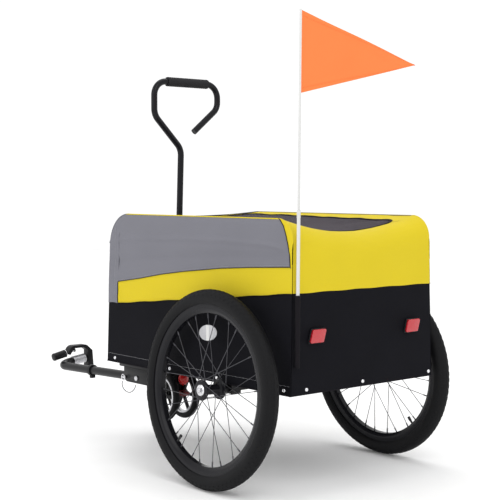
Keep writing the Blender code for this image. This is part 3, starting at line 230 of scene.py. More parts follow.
def lathe(outline, steps=48, closed=True):
    """A single vertex extruded along (radius, height) points and spun about Z."""
    bpy.ops.object.select_all(action="DESELECT")
    bpy.ops.mesh.primitive_plane_add(size=0.01, location=(0, 0, 0))
    obj = bpy.context.object
    edit(obj, "VERT")
    bpy.ops.mesh.select_all(action="SELECT")
    bpy.ops.mesh.merge(type="CENTER")
    here = Vector((outline[0][0], 0, outline[0][1]))
    bpy.ops.transform.translate(value=here)
    for radius, height in outline[1:]:
        there = Vector((radius, 0, height))
        bpy.ops.mesh.extrude_region_move(TRANSFORM_OT_translate={"value": there - here})
        here = there
    if closed:
        shape = bmesh.from_edit_mesh(obj.data)
        shape.verts.ensure_lookup_table()
        ends = [vert for vert in shape.verts if len(vert.link_edges) < 2]
        if len(ends) == 2 and max(vert.co.x for vert in ends) > 0.00001:
            shape.edges.new(ends)
        bmesh.update_edit_mesh(obj.data)
    bpy.ops.mesh.select_all(action="SELECT")
    bpy.ops.mesh.spin(steps=steps, angle=2 * math.pi, center=(0, 0, 0), axis=(0, 0, 1))
    done_editing()
    return tidy_mesh(obj)


def plate(outline, thickness, bevel=0.0, segments=2):
    """A filled outline in the XY plane, extruded to a thickness, with its edges rounded."""
    bpy.ops.object.select_all(action="DESELECT")
    bpy.ops.mesh.primitive_circle_add(vertices=len(outline), radius=1, fill_type="NGON")
    obj = bpy.context.object
    for vert, point in zip(obj.data.vertices, outline):
        vert.co = (point[0], point[1], -thickness / 2)
    edit(obj)
    bpy.ops.mesh.select_all(action="SELECT")
    bpy.ops.mesh.extrude_region_move(TRANSFORM_OT_translate={"value": (0, 0, thickness)})
    done_editing()
    tidy_mesh(obj)
    if bevel:
        apply_modifier(
            obj, "BEVEL", width=bevel, segments=segments, limit_method="ANGLE", angle_limit=0.7
        )
    return obj


def sweep(points, radius, closed=False, sides=6, radii=None):
    """A round tube along points, as a mesh."""
    curve = bpy.data.curves.new("sweep", "CURVE")
    curve.dimensions = "3D"
    curve.bevel_depth = radius
    curve.bevel_resolution = sides
    curve.use_fill_caps = True
    line = curve.splines.new("POLY")
    line.points.add(len(points) - 1)
    for index, point in enumerate(points):
        line.points[index].co = (*point, 1)
        if radii:
            line.points[index].radius = radii[index]
    line.use_cyclic_u = closed
    obj = bpy.data.objects.new("sweep", curve)
    bpy.context.scene.collection.objects.link(obj)
    only(obj)
    bpy.ops.object.convert(target="MESH")
    return tidy_mesh(bpy.context.object)


def rod(start, end, radius, sides=24, bevel=0.0):
    """A round bar between two points with its ends rounded."""
    start, end = Vector(start), Vector(end)
    bpy.ops.object.select_all(action="DESELECT")
    bpy.ops.mesh.primitive_cylinder_add(vertices=sides, radius=radius, depth=(end - start).length)
    obj = bpy.context.object
    if bevel:
        apply_modifier(obj, "BEVEL", width=bevel, segments=2, limit_method="ANGLE", angle_limit=0.9)
    turn = Vector((0, 0, 1)).rotation_difference(end - start).to_matrix().to_4x4()
    obj.matrix_world = Matrix.Translation((start + end) / 2) @ turn
    return seat(obj)


def block(low, high, bevel):
    """A box between two corners with rounded edges."""
    low, high = Vector(low), Vector(high)
    bpy.ops.object.select_all(action="DESELECT")
    bpy.ops.mesh.primitive_cube_add(size=1, location=(low + high) / 2)
    obj = bpy.context.object
    obj.scale = high - low
    seat(obj)
    return apply_modifier(
        obj, "BEVEL", width=bevel, segments=3, limit_method="ANGLE", angle_limit=0.7
    )


def local_frame(origin, x, z):
    x, z = Vector(x).normalized(), Vector(z).normalized()
    turn = Matrix((x, z.cross(x), z)).transposed().to_4x4()
    return Matrix.Translation(Vector(origin)) @ turn


print("outline helpers:", lathe.__name__, plate.__name__, sweep.__name__, rod.__name__)

# %% [markdown]
# ## Finishes
# Every finish is a Principled shader whose colour, roughness and bump come from textures. Three
# effects are shared by many finishes, so each is a node group: a woven cloth that follows the
# piece's own UV map in metres, a grain for moulded and painted surfaces, and a fine line pattern
# for worked metal.


# %% Node groups
def new_group(name, inputs, outputs):
    group = bpy.data.node_groups.new(name, "ShaderNodeTree")
    for label, kind in inputs:
        group.interface.new_socket(name=label, in_out="INPUT", socket_type=kind)
    for label, kind in outputs:
        group.interface.new_socket(name=label, in_out="OUTPUT", socket_type=kind)
    enter = group.nodes.new("NodeGroupInput")
    leave = group.nodes.new("NodeGroupOutput")
    return group, enter, leave


def math_node(tree, operation, first, second=None, third=None):
    node = tree.nodes.new("ShaderNodeMath")
    node.operation = operation
    for index, value in enumerate((first, second, third)):
        if value is None:
            continue
        if isinstance(value, (int, float)):
            node.inputs[index].default_value = value
        else:
            tree.links.new(value, node.inputs[index])
    return node.outputs[0]


def noise_node(tree, vector, scale, detail=3.0, rough=0.5):
    node = tree.nodes.new("ShaderNodeTexNoise")
    node.inputs["Detail"].default_value = detail
    node.inputs["Roughness"].default_value = rough
    tree.links.new(vector, node.inputs["Vector"])
    if isinstance(scale, (int, float)):
        node.inputs["Scale"].default_value = scale
    else:
        tree.links.new(scale, node.inputs["Scale"])
    return node.outputs["Fac"]


def shade_colour(tree, colour, amount):
    """The colour made darker or lighter by a factor round 1."""
    node = tree.nodes.new("ShaderNodeMix")
    node.data_type = "RGBA"
    node.blend_type = "MULTIPLY"
    node.inputs["Factor"].default_value = 1.0
    tree.links.new(colour, node.inputs["A"])
    combine = tree.nodes.new("ShaderNodeCombineColor")
    for socket in combine.inputs[:3]:
        tree.links.new(amount, socket)
    tree.links.new(combine.outputs[0], node.inputs["B"])
    return node.outputs["Result"]


def bump_node(tree, height, strength, distance):
    node = tree.nodes.new("ShaderNodeBump")
    node.inputs["Distance"].default_value = distance
    if isinstance(strength, (int, float)):
        node.inputs["Strength"].default_value = strength
    else:
        tree.links.new(strength, node.inputs["Strength"])
    tree.links.new(height, node.inputs["Height"])
    return node.outputs["Normal"]


COLOUR, NUMBER, VECTOR = "NodeSocketColor", "NodeSocketFloat", "NodeSocketVector"


def weave_group():
    group, enter, leave = new_group(
        "woven_cloth",
        [("Colour", COLOUR), ("Pitch", NUMBER), ("Strength", NUMBER), ("Painted Fold Shade", NUMBER)],
        [("Colour", COLOUR), ("Roughness", NUMBER), ("Normal", VECTOR)],
    )
    uv = group.nodes.new("ShaderNodeUVMap")
    uv.uv_map = "metres"
    place = group.nodes.new("ShaderNodeSeparateXYZ")
    group.links.new(uv.outputs[0], place.inputs[0])
    turns = math_node(group, "DIVIDE", 2 * math.pi, enter.outputs["Pitch"])
    warp = math_node(group, "SINE", math_node(group, "MULTIPLY", place.outputs[0], turns))
    weft = math_node(group, "SINE", math_node(group, "MULTIPLY", place.outputs[1], turns))
    thread = math_node(group, "MULTIPLY", warp, weft)
    patches = noise_node(group, uv.outputs[0], 9.0, 4.0)
    slubs = noise_node(group, uv.outputs[0], 900.0, 2.0)
    # Painted fold shade: broad noise patches make the cloth's colour darker and lighter, as shade and
    # light on folds would.
    painted_fold_shade = math_node(
        group, "MULTIPLY", math_node(group, "SUBTRACT", patches, 0.5), enter.outputs["Painted Fold Shade"]
    )
    tone = math_node(group, "ADD", math_node(group, "MULTIPLY", thread, 0.05), 0.94)
    tone = math_node(group, "ADD", tone, math_node(group, "MULTIPLY", slubs, 0.12))
    tone = math_node(group, "ADD", tone, painted_fold_shade)
    group.links.new(shade_colour(group, enter.outputs["Colour"], tone), leave.inputs["Colour"])
    rough = math_node(group, "ADD", math_node(group, "MULTIPLY", slubs, 0.15), 0.62)
    group.links.new(rough, leave.inputs["Roughness"])
    height = math_node(group, "ADD", thread, math_node(group, "MULTIPLY", slubs, 0.6))
    group.links.new(
        bump_node(group, height, enter.outputs["Strength"], 0.0002), leave.inputs["Normal"]
    )
    return group


def grain_group():
    group, enter, leave = new_group(
        "fine_grain",
        [
            ("Colour", COLOUR), ("Scale", NUMBER), ("Strength", NUMBER), ("Gloss", NUMBER),
            ("Dust", NUMBER),
        ],
        [("Colour", COLOUR), ("Roughness", NUMBER), ("Normal", VECTOR)],
    )
    place = group.nodes.new("ShaderNodeTexCoord").outputs["Object"]
    fine = noise_node(group, place, enter.outputs["Scale"], 2.0)
    broad = noise_node(group, place, 14.0, 4.0, 0.6)
    tone = math_node(group, "ADD", math_node(group, "MULTIPLY", broad, enter.outputs["Dust"]), 0.85)
    tone = math_node(group, "ADD", tone, math_node(group, "MULTIPLY", fine, 0.25))
    group.links.new(shade_colour(group, enter.outputs["Colour"], tone), leave.inputs["Colour"])
    spread = math_node(group, "MULTIPLY", math_node(group, "SUBTRACT", broad, 0.5), 0.22)
    group.links.new(
        math_node(group, "ADD", enter.outputs["Gloss"], spread), leave.inputs["Roughness"]
    )
    group.links.new(
        bump_node(group, fine, enter.outputs["Strength"], 0.0003), leave.inputs["Normal"]
    )
    return group


def brushed_group():
    group, enter, leave = new_group(
        "worked_metal",
        [("Colour", COLOUR), ("Gloss", NUMBER), ("Strength", NUMBER)],
        [("Colour", COLOUR), ("Roughness", NUMBER), ("Normal", VECTOR)],
    )
    stretch = group.nodes.new("ShaderNodeMapping")
    stretch.inputs["Scale"].default_value = (40.0, 400.0, 400.0)
    coordinates = group.nodes.new("ShaderNodeTexCoord")
    group.links.new(coordinates.outputs["Object"], stretch.inputs["Vector"])
    lines = noise_node(group, stretch.outputs[0], 3.0, 3.0)
    spots = noise_node(group, coordinates.outputs["Object"], 60.0, 4.0, 0.6)
    tone = math_node(group, "ADD", math_node(group, "MULTIPLY", spots, 0.5), 0.68)
    group.links.new(shade_colour(group, enter.outputs["Colour"], tone), leave.inputs["Colour"])
    spread = math_node(group, "MULTIPLY", lines, 0.22)
    group.links.new(
        math_node(group, "ADD", enter.outputs["Gloss"], spread), leave.inputs["Roughness"]
    )
    group.links.new(
        bump_node(group, lines, enter.outputs["Strength"], 0.0001), leave.inputs["Normal"]
    )
    return group


WEAVE, GRAIN, BRUSHED = weave_group(), grain_group(), brushed_group()
print("shared effects:", WEAVE.name, GRAIN.name, BRUSHED.name)


# %% [markdown]
# ## The finishes themselves
# Cloth, moulded or painted surfaces and worked metal are each one call with a colour and a few
# values. The reflectors need pressed prisms instead, so they have a material of their own.


# %% Materials
def finish_material(name, group, colour, values, **shader_values):
    """A Principled material whose colour, roughness and normal come from one shared effect."""
    made = bpy.data.materials.new(name)
    made.use_nodes = True
    tree = made.node_tree
    shader = tree.nodes["Principled BSDF"]
    effect = tree.nodes.new("ShaderNodeGroup")
    effect.node_tree = group
    effect.inputs["Colour"].default_value = (*colour, 1)
    for label, value in values.items():
        effect.inputs[label].default_value = value
    tree.links.new(effect.outputs["Colour"], shader.inputs["Base Color"])
    tree.links.new(effect.outputs["Roughness"], shader.inputs["Roughness"])
    tree.links.new(effect.outputs["Normal"], shader.inputs["Normal"])
    for label, value in shader_values.items():
        shader.inputs[label.replace("_", " ")].default_value = value
    return made


# fold_shade is the strength of the painted fold shade: broad patches of darker and lighter colour on
# the cloth.
def cloth(name, colour, pitch=0.0009, strength=0.35, fold_shade=0.10, **more):
    values = {"Pitch": pitch, "Strength": strength, "Painted Fold Shade": fold_shade}
    return finish_material(name, WEAVE, colour, values, **more)


def grainy(name, colour, scale, strength, gloss, dust=0.15, **more):
    values = {"Scale": scale, "Strength": strength, "Gloss": gloss, "Dust": dust}
    return finish_material(name, GRAIN, colour, values, **more)


def metal(name, colour, gloss, strength=0.2):
    return finish_material(
        name, BRUSHED, colour, {"Gloss": gloss, "Strength": strength}, Metallic=1.0
    )


GREY_CLOTH = cloth("grey_cloth", (0.165, 0.165, 0.190), Sheen_Weight=0.08, Specular_IOR_Level=0.2)
YELLOW_CLOTH = cloth("yellow_cloth", (0.620, 0.485, 0.012), fold_shade=0.10, Specular_IOR_Level=0.2)
# The black cloth and the net get strong painted fold shade.
BLACK_CLOTH = cloth("black_cloth", (0.0055, 0.0055, 0.0078), fold_shade=0.5, Specular_IOR_Level=0.06)
BINDING = cloth("black_binding", (0.008, 0.007, 0.009), pitch=0.0006, Specular_IOR_Level=0.08)
NET = cloth(
    "window_net", (0.040, 0.032, 0.042), pitch=0.0016, strength=0.8, fold_shade=0.5,
    Specular_IOR_Level=0.15,
)
PENNANT = cloth(
    "pennant_cloth", (0.93, 0.21, 0.058), pitch=0.0005, strength=0.2, Specular_IOR_Level=0.15
)
BLACK_PAINT = grainy(
    "black_powder_coat", (0.008, 0.008, 0.009), 900.0, 0.10, 0.30, Specular_IOR_Level=0.18
)
BLACK_GLOSS = grainy(
    "black_gloss_paint", (0.008, 0.008, 0.010), 700.0, 0.05, 0.20, Specular_IOR_Level=0.16
)
BLACK_PLASTIC = grainy(
    "black_moulding", (0.009, 0.009, 0.010), 1500.0, 0.25, 0.42, Specular_IOR_Level=0.18
)
FLOOR_BOARD = grainy("floor_board", (0.020, 0.020, 0.022), 700.0, 0.4, 0.6)
RED_PLASTIC = grainy("red_moulding", (0.42, 0.006, 0.006), 800.0, 0.05, 0.26)
PEDAL_RED = grainy("dark_red_moulding", (0.13, 0.006, 0.008), 800.0, 0.08, 0.42)
TYRE_RUBBER = grainy(
    "tyre_rubber", (0.0062, 0.0062, 0.0070), 1300.0, 0.5, 0.60, 0.25, Specular_IOR_Level=0.13
)
SOFT_RUBBER = grainy("soft_rubber", (0.016, 0.016, 0.018), 900.0, 0.3, 0.6)
FOAM = grainy("foam", (0.018, 0.018, 0.020), 1900.0, 0.9, 0.86, Specular_IOR_Level=0.2)
CHROME = metal("chrome", (0.80, 0.80, 0.82), 0.08, 0.05)
STEEL = metal("steel", (0.62, 0.62, 0.64), 0.22)
ZINC = metal("zinc", (0.60, 0.60, 0.62), 0.26, 0.3)
DARK_STEEL = metal("dark_spoke_steel", (0.10, 0.10, 0.11), 0.30)
POLE_WHITE = grainy("white_fibreglass", (0.60, 0.60, 0.59), 900.0, 0.1, 0.30, 0.05)


def lens_material(name, colour, cell, strength):
    """Moulded reflector plastic: small prisms pressed into a glossy face."""
    made = bpy.data.materials.new(name)
    made.use_nodes = True
    tree = made.node_tree
    shader = tree.nodes["Principled BSDF"]
    place = tree.nodes.new("ShaderNodeTexCoord").outputs["Object"]
    cells = tree.nodes.new("ShaderNodeTexVoronoi")
    cells.inputs["Scale"].default_value = 1.0 / cell
    cells.inputs["Randomness"].default_value = 0.0
    tree.links.new(place, cells.inputs["Vector"])
    tone = math_node(
        tree, "ADD", math_node(tree, "MULTIPLY", cells.outputs["Distance"], -0.5), 1.15
    )
    colour_node = tree.nodes.new("ShaderNodeRGB")
    colour_node.outputs[0].default_value = (*colour, 1)
    tree.links.new(shade_colour(tree, colour_node.outputs[0], tone), shader.inputs["Base Color"])
    tree.links.new(
        bump_node(tree, cells.outputs["Distance"], strength, 0.001), shader.inputs["Normal"]
    )
    rough = math_node(
        tree, "ADD", math_node(tree, "MULTIPLY", cells.outputs["Distance"], 0.15), 0.08
    )
    tree.links.new(rough, shader.inputs["Roughness"])
    shader.inputs["Coat Weight"].default_value = 0.6
    return made


RED_LENS = lens_material("red_lens", (0.50, 0.012, 0.022), 0.0030, 0.6)
CLEAR_LENS = lens_material("clear_lens", (0.46, 0.46, 0.48), 0.0036, 0.8)
STUDIO_FLOOR = grainy("studio_floor", (1.0, 1.0, 1.0), 2.0, 0.0, 0.9, 0.02, Specular_IOR_Level=0.0)
THREAD = grainy("light_thread", (0.36, 0.36, 0.38), 2500.0, 0.4, 0.7)
YELLOW_THREAD = grainy(
    "yellow_thread", (0.60, 0.47, 0.02), 2500.0, 0.4, 0.7, Specular_IOR_Level=0.2
)
print("finishes:", len(bpy.data.materials))

# %% [markdown]
# ## Floor
# A wide pale plane lies a millimetre under the tyres, so that it doesn't flicker against them. It
# belongs to the stage and isn't a piece of the trailer.


# %% Floor
bpy.ops.object.select_all(action="DESELECT")
bpy.ops.mesh.primitive_plane_add(size=60, location=(0, 0, -0.001))
floor = seat(bpy.context.object)
floor.name = "studio_floor"
floor.data.materials.append(STUDIO_FLOOR)
print("floor below the wheels, at z =", round(floor.data.vertices[0].co.z, 4))

# %% [markdown]
# ## Cloth box
# The walls are sewn from coated cloth. Each side has a grey field over a yellow wave, a black lower
# part and a yellow strip round the rear edge. The front is grey over black and the rear is yellow
# over black. The shape shared by all of them is set here: the outline of a side, the lines where the
# colours meet, and how far the cloth stands out between its hoops.

# %% Shape of the box
BOX_REAR, BOX_FRONT, BOX_LOW, BOX_TOP = -0.241, 0.537, 0.257, 0.680
WAVE_FRONT, FRONT_BLACK_TOP, REAR_BLACK_TOP = 0.487, 0.4262, 0.502
STITCH, HEM_STITCH, THREAD_RADIUS = 0.0048, 0.0055, 0.0003
HALF, LEAN, CLOTH = 0.253, math.tan(math.radians(1.4)), 0.003
REAR_TOP, FRONT_TOP, REAR_CORNER, FRONT_CORNER = -0.237, 0.531, 0.055, 0.085
SIDE_OUTLINE = rounded(
    [
        (BOX_REAR, BOX_LOW, 0), (REAR_TOP, BOX_TOP, 0), (FRONT_TOP, BOX_TOP, 0),
        (BOX_FRONT, BOX_LOW, 0),
    ],
    [0, REAR_CORNER, FRONT_CORNER, 0],
    steps=14,
)
WAVE = [
    (-0.2410, 0.5652), (-0.090, 0.557), (0.027, 0.549), (0.177, 0.533), (0.284, 0.519),
    (0.377, 0.503), (0.487, 0.4875),
]
GREY_REAR = [
    (-0.2340, 0.5600), (-0.2334, 0.5647), (-0.2301, 0.5944), (-0.2241, 0.6178), (-0.2164, 0.6412),
    (-0.2069, 0.6623), (-0.1916, 0.6767), (-0.1860, 0.6796),
]
CREASE = [
    (-0.24, 0.600), (-0.212, 0.605), (-0.158, 0.615), (-0.006, 0.620), (0.2, 0.618), (0.457, 0.609),
    (0.54, 0.60),
]
HOLLOW = [(-0.24, 0.585), (0.0, 0.580), (0.2, 0.567), (0.43, 0.546), (0.54, 0.54)]


def along(line, x):
    """The height of a polyline of (x, z) points at x."""
    if x <= line[0][0]:
        return line[0][1]
    for first, second in zip(line, line[1:]):
        if x <= second[0]:
            share = (x - first[0]) / max(second[0] - first[0], 1e-9)
            return first[1] + (second[1] - first[1]) * share
    return line[-1][1]


def side_top(x):
    return along([(point[0], point[1]) for point in SIDE_OUTLINE], x)


def soft_noise(x, z, scale, seed):
    return noise.noise(Vector((x * scale, z * scale, seed)))


def side_relief(x, z):
    """How far the cloth stands out of its flat shape: pulled between hoops, with a long crease ridge
    and hollow.
    """
    inside = min(x - BOX_REAR, BOX_FRONT - x, z - BOX_LOW, max(side_top(x) - z, 0.0))
    fade = min(1.0, max(inside, 0.0) / 0.05)
    ridge = math.exp(-(((z - along(CREASE, x)) / 0.006) ** 2)) * 0.0022
    hollow = math.exp(-(((z - along(HOLLOW, x)) / 0.015) ** 2)) * -0.0026
    pull = 0.0011 * math.sin(
        z * 23 + x * 7 + 2.2 * soft_noise(x, z, 5, 3)
    ) + 0.0014 * soft_noise(x, z, 9, 7)
    roll = -0.0034 * max(0.0, 1 - (side_top(x) - z) / 0.018) ** 2 if z > 0.6 else 0.0
    return roll + fade * (ridge + hollow + pull) + 0.0005 * soft_noise(x, z, 40, 1) * fade


def side_point(x, z, side, out):
    return at(x, side * (HALF - LEAN * (z - BOX_LOW) + side_relief(x, z) - 0.0012 + out), z)


print("cloth stands out at the middle of a side:", round(side_relief(0.15, 0.4), 4))

# %% [markdown]
# ## Laying a cloth
# A grid is laid over a shape by a function that gives, for each share across and up, a point and its
# place on the flat cloth. The flat place becomes the UV map, so the weave follows the cloth in metres.
# Stitches and seams are laid along lines on the same surface.


# %% Laying a cloth
def cloth_grid(columns, rows, surface, thickness=0.0012, reverse=False):
    """A grid shaped in edit mode by surface(u, v), with a flat UV map in metres and its thickness."""
    bpy.ops.object.select_all(action="DESELECT")
    bpy.ops.mesh.primitive_grid_add(x_subdivisions=columns, y_subdivisions=rows, size=1)
    obj = bpy.context.object
    edit(obj, "VERT")
    shape = bmesh.from_edit_mesh(obj.data)
    map_layer = shape.loops.layers.uv.new("metres")
    flat = {}
    for vert in shape.verts:
        u, v = vert.co.x + 0.5, vert.co.y + 0.5
        point, across, up = surface(u, v)
        flat[vert.index] = (across, up)
        vert.co = point
    for face in shape.faces:
        for corner in face.loops:
            corner[map_layer].uv = flat[corner.vert.index]
    if reverse:
        bmesh.ops.reverse_faces(shape, faces=shape.faces)
    bmesh.update_edit_mesh(obj.data)
    done_editing()
    for layer in [layer.name for layer in obj.data.uv_layers if layer.name != "metres"]:
        obj.data.uv_layers.remove(obj.data.uv_layers[layer])
    return apply_modifier(obj, "SOLIDIFY", thickness=thickness, offset=-1, use_even_offset=False)


def stations(low, high, step, sharp=()):
    """Places from low to high, about step apart, closer near the ends and doubled at sharp ones."""
    places = [low + reach for reach in (0, 0.0006, 0.0015, 0.003, 0.006, 0.01)]
    places += [high - reach for reach in (0, 0.0006, 0.0015, 0.003, 0.006, 0.01)]
    count = max(2, int((high - low) / step))
    places += [low + 0.014 + (high - low - 0.028) * index / count for index in range(count + 1)]
    for place in sharp:
        places += [place - 0.0002, place + 0.0002]
    return sorted(places)


def side_zone(xs, bottom, top, side, out, rows=30):
    """A piece of the side wall between two heights given by functions of x."""

    def surface(u, v):
        x = xs[min(round(u * (len(xs) - 1)), len(xs) - 1)]
        low, high = min(bottom(x), side_top(x) - 0.00005), min(top(x), side_top(x))
        z = low + (high - low) * v
        return side_point(x, z, side, out), x, z

    return cloth_grid(len(xs) - 1, rows, surface, reverse=side > 0)


def upper_black(x):
    """The line where the black lower part ends, up to the wave at its front end."""
    if x > 0.4868:
        return FRONT_BLACK_TOP + 0.0012 * math.sin(x * 90)
    return REAR_BLACK_TOP - (x + 0.237) * (0.076 / 0.724) + 0.0007 * math.sin(x * 55)


def grey_floor(x):
    return along(WAVE, x) if x < WAVE_FRONT else FRONT_BLACK_TOP + 0.0012 * math.sin(x * 90)


def grey_ceiling(x):
    return along(GREY_REAR, x) if x < -0.1860 else 1.0


def stitches(points, spacing, radius, outwards):
    """A row of short threads along a line of points, just above the cloth."""
    lengths = [0.0]
    for first, second in zip(points, points[1:]):
        lengths.append(lengths[-1] + (second - first).length)
    made = []
    count = int(lengths[-1] / spacing)
    for index in range(count):
        goal = (index + 0.5) * lengths[-1] / count
        place = next(i for i in range(len(points) - 1) if lengths[i + 1] >= goal)
        share = (goal - lengths[place]) / max(lengths[place + 1] - lengths[place], 1e-9)
        middle = points[place].lerp(points[place + 1], share)
        direction = (points[place + 1] - points[place]).normalized() * spacing * 0.33
        middle = middle + Vector(outwards) * radius * 0.4
        bpy.ops.mesh.primitive_cylinder_add(
            vertices=5,
            radius=radius,
            depth=2 * direction.length,
            location=middle,
            rotation=direction.to_track_quat("Z", "Y").to_euler(),
        )
        made.append(bpy.context.object)
    only(made[0])
    for thread in made[1:]:
        thread.select_set(True)
    bpy.ops.object.join()
    return seat(bpy.context.object)


def seam(points, radius):
    """A thin raised line of binding along points on the cloth."""
    return sweep(points, radius, sides=2)


def curve_points(function, low, high, count, side, out):
    xs = [low + (high - low) * index / count for index in range(count + 1)]
    return [side_point(x, function(x), side, out) for x in xs]


print("points in the outline of a side:", len(SIDE_OUTLINE))

# %% [markdown]
# ## Side walls
# A side is sewn from a black lower part, a yellow wave, a yellow corner strip and a grey field. They
# could be one sheet with painted colours, but then the edges would lie flat. Here each colour is its
# own cloth, and the upper one laps the lower one by a millimetre as it does when sewn.


# %% Side walls
SIDE_NAMES = {1: "left", -1: "right"}
walls = {}
for side, name in SIDE_NAMES.items():
    outwards = (0, side, 0)
    panel = name + "_panel"
    black = side_zone(
        stations(BOX_REAR, BOX_FRONT, 0.012, (WAVE_FRONT,)), lambda x: BOX_LOW,
        lambda x: upper_black(x) + 0.010, side, 0.0,
    )
    finish(black, name + "_lower_cloth", BLACK_CLOTH, "trailer", "black_cloth", (panel,), 60)
    yellow = side_zone(
        stations(-0.2385, 0.4868, 0.012), upper_black, lambda x: along(WAVE, x) + 0.006, side,
        0.0008, 12,
    )
    finish(yellow, name + "_wave_cloth", YELLOW_CLOTH, "trailer", "yellow_cloth", (), 60)
    grey_xs = stations(-0.2338, 0.5345, 0.010, (WAVE_FRONT,)) + [
        -0.230, -0.226, -0.2215, -0.217, -0.212, -0.207, -0.199, -0.193, -0.188
    ]
    grey = side_zone(sorted(grey_xs), grey_floor, grey_ceiling, side, 0.0014, 36)
    finish(grey, name + "_upper_cloth", GREY_CLOTH, "trailer", "grey_cloth", (), 60)

    def strip(u, v, side=side):
        outline = [(p[0], p[1]) for p in SIDE_OUTLINE if p[0] < -0.18]
        path = [(BOX_REAR + 0.0042 * (z - BOX_LOW) / 0.423, z) for z in (0.5655, 0.585, 0.605)]
        path += [point for point in outline if point[1] > 0.62]
        step = u * (len(path) - 1)
        index = min(int(step), len(path) - 2)
        outer = Vector(path[index]).lerp(Vector(path[index + 1]), step - index)
        step = u * (len(GREY_REAR) - 2) + 1
        index = min(int(step), len(GREY_REAR) - 2)
        inner = Vector(GREY_REAR[index]).lerp(Vector(GREY_REAR[index + 1]), step - index)
        x, z = outer.lerp(inner, min(v * 1.08, 1.0))
        return side_point(x, z, side, 0.0008), x, z

    corner = cloth_grid(40, 6, strip, reverse=side > 0)
    corner = tidy_mesh(corner)
    finish(corner, name + "_corner_cloth", YELLOW_CLOTH, "trailer", "yellow_cloth", (), 60)
    lines = [
        seam(curve_points(upper_black, -0.2385, 0.4866, 60, side, 0.0018), 0.0009),
        seam(curve_points(lambda x: along(WAVE, x), -0.2330, 0.4866, 60, side, 0.0024), 0.0008),
        seam([side_point(x, z, side, 0.0026) for x, z in GREY_REAR[1:]], 0.0011),
        seam(
            [
                side_point(0.4872 + 0.0006 * math.sin(z * 160), z, side, 0.0018)
                for z in [0.428 + 0.0025 * i for i in range(24)]
            ],
            0.0011,
        ),
        seam(
            curve_points(
                lambda x: BOX_LOW + 0.0015, BOX_REAR + 0.001, BOX_FRONT - 0.001, 30, side, 0.0006
            ),
            0.0016,
        ),
    ]
    finish(merge_into(*lines), name + "_seams", BINDING, "trailer", "black_cloth", (), 60)
    edge = [(p[0], p[1] - 0.0012) for p in SIDE_OUTLINE[1:-1]]
    piping = seam([side_point(x, z, side, 0.0016) for x, z in edge if x < 0.462], 0.0015)
    finish(piping, name + "_yellow_piping", YELLOW_THREAD, "trailer", "yellow_cloth", (), 60)
    piping = seam([side_point(x, z, side, 0.0016) for x, z in edge if x > 0.445], 0.0015)
    finish(piping, name + "_grey_piping", GREY_CLOTH, "trailer", "grey_cloth", (), 60)
    rows = [
        stitches(
            curve_points(lambda x: along(WAVE, x) + 0.004, -0.228, 0.482, 60, side, 0.0016), STITCH,
            THREAD_RADIUS, outwards,
        ),
        stitches(
            [side_point(0.505, 0.432 + 0.004 * i, side, 0.0016) for i in range(53)], STITCH,
            THREAD_RADIUS, outwards,
        ),
        stitches(
            curve_points(
                lambda x: BOX_LOW + 0.024, BOX_REAR + 0.004, BOX_FRONT - 0.004, 40, side, 0.0
            ),
            HEM_STITCH, THREAD_RADIUS, outwards,
        ),
    ]
    finish(merge_into(*rows), name + "_grey_stitches", THREAD, "trailer", "grey_cloth", (), 60)
    rows = [
        stitches(
            curve_points(lambda x: upper_black(x) + 0.004, -0.236, 0.482, 60, side, 0.0010), STITCH,
            THREAD_RADIUS, outwards,
        ),
        stitches(
            [side_point(-0.2370, 0.505 + 0.004 * i, side, 0.0010) for i in range(28)], STITCH,
            THREAD_RADIUS, outwards,
        ),
    ]
    finish(
        merge_into(*rows), name + "_yellow_stitches", YELLOW_THREAD, "trailer", "yellow_cloth", (),
        60,
    )
    walls[name] = [black, yellow, grey, corner]
print("side walls:", sum(len(pieces) for pieces in walls.values()), "cloth pieces")


# %% [markdown]
# ## End walls
# The cloth of each end runs up the wall, round a wide corner and over the top to the cover. Its line
# is drawn once for each station across the width, and a grid is laid along it, so that wall, corner
# and top stay one cloth without a joint.


# %% End walls
def top_height(x, y):
    half = HALF - LEAN * (BOX_TOP - BOX_LOW)
    share = min(max((x - BOX_REAR) / (BOX_FRONT - BOX_REAR), 0.0), 1.0)
    return BOX_TOP - 0.0003 - (0.040 - 0.032 * share) * (1.0 - min(1.0, (y / half) ** 2))


def end_path(outwards, across):
    """The end wall's line up, round its corner and over the top, at a share of the half width."""
    low, high, radius = (BOX_REAR, REAR_TOP, REAR_CORNER) if outwards < 0 else (
        BOX_FRONT, FRONT_TOP, FRONT_CORNER
    )
    end = high - outwards * (radius + 0.002)
    half = HALF - LEAN * (BOX_TOP - BOX_LOW) - 0.0039
    level = top_height((high + end) / 2, across * half)
    points = rounded(
        [(low, 0, BOX_LOW), (high, 0, level), (end, 0, level)], [0, radius, 0], steps=16
    )
    dense = [points[0].lerp(points[1], index / 24) for index in range(24)]
    return dense + points[1:]


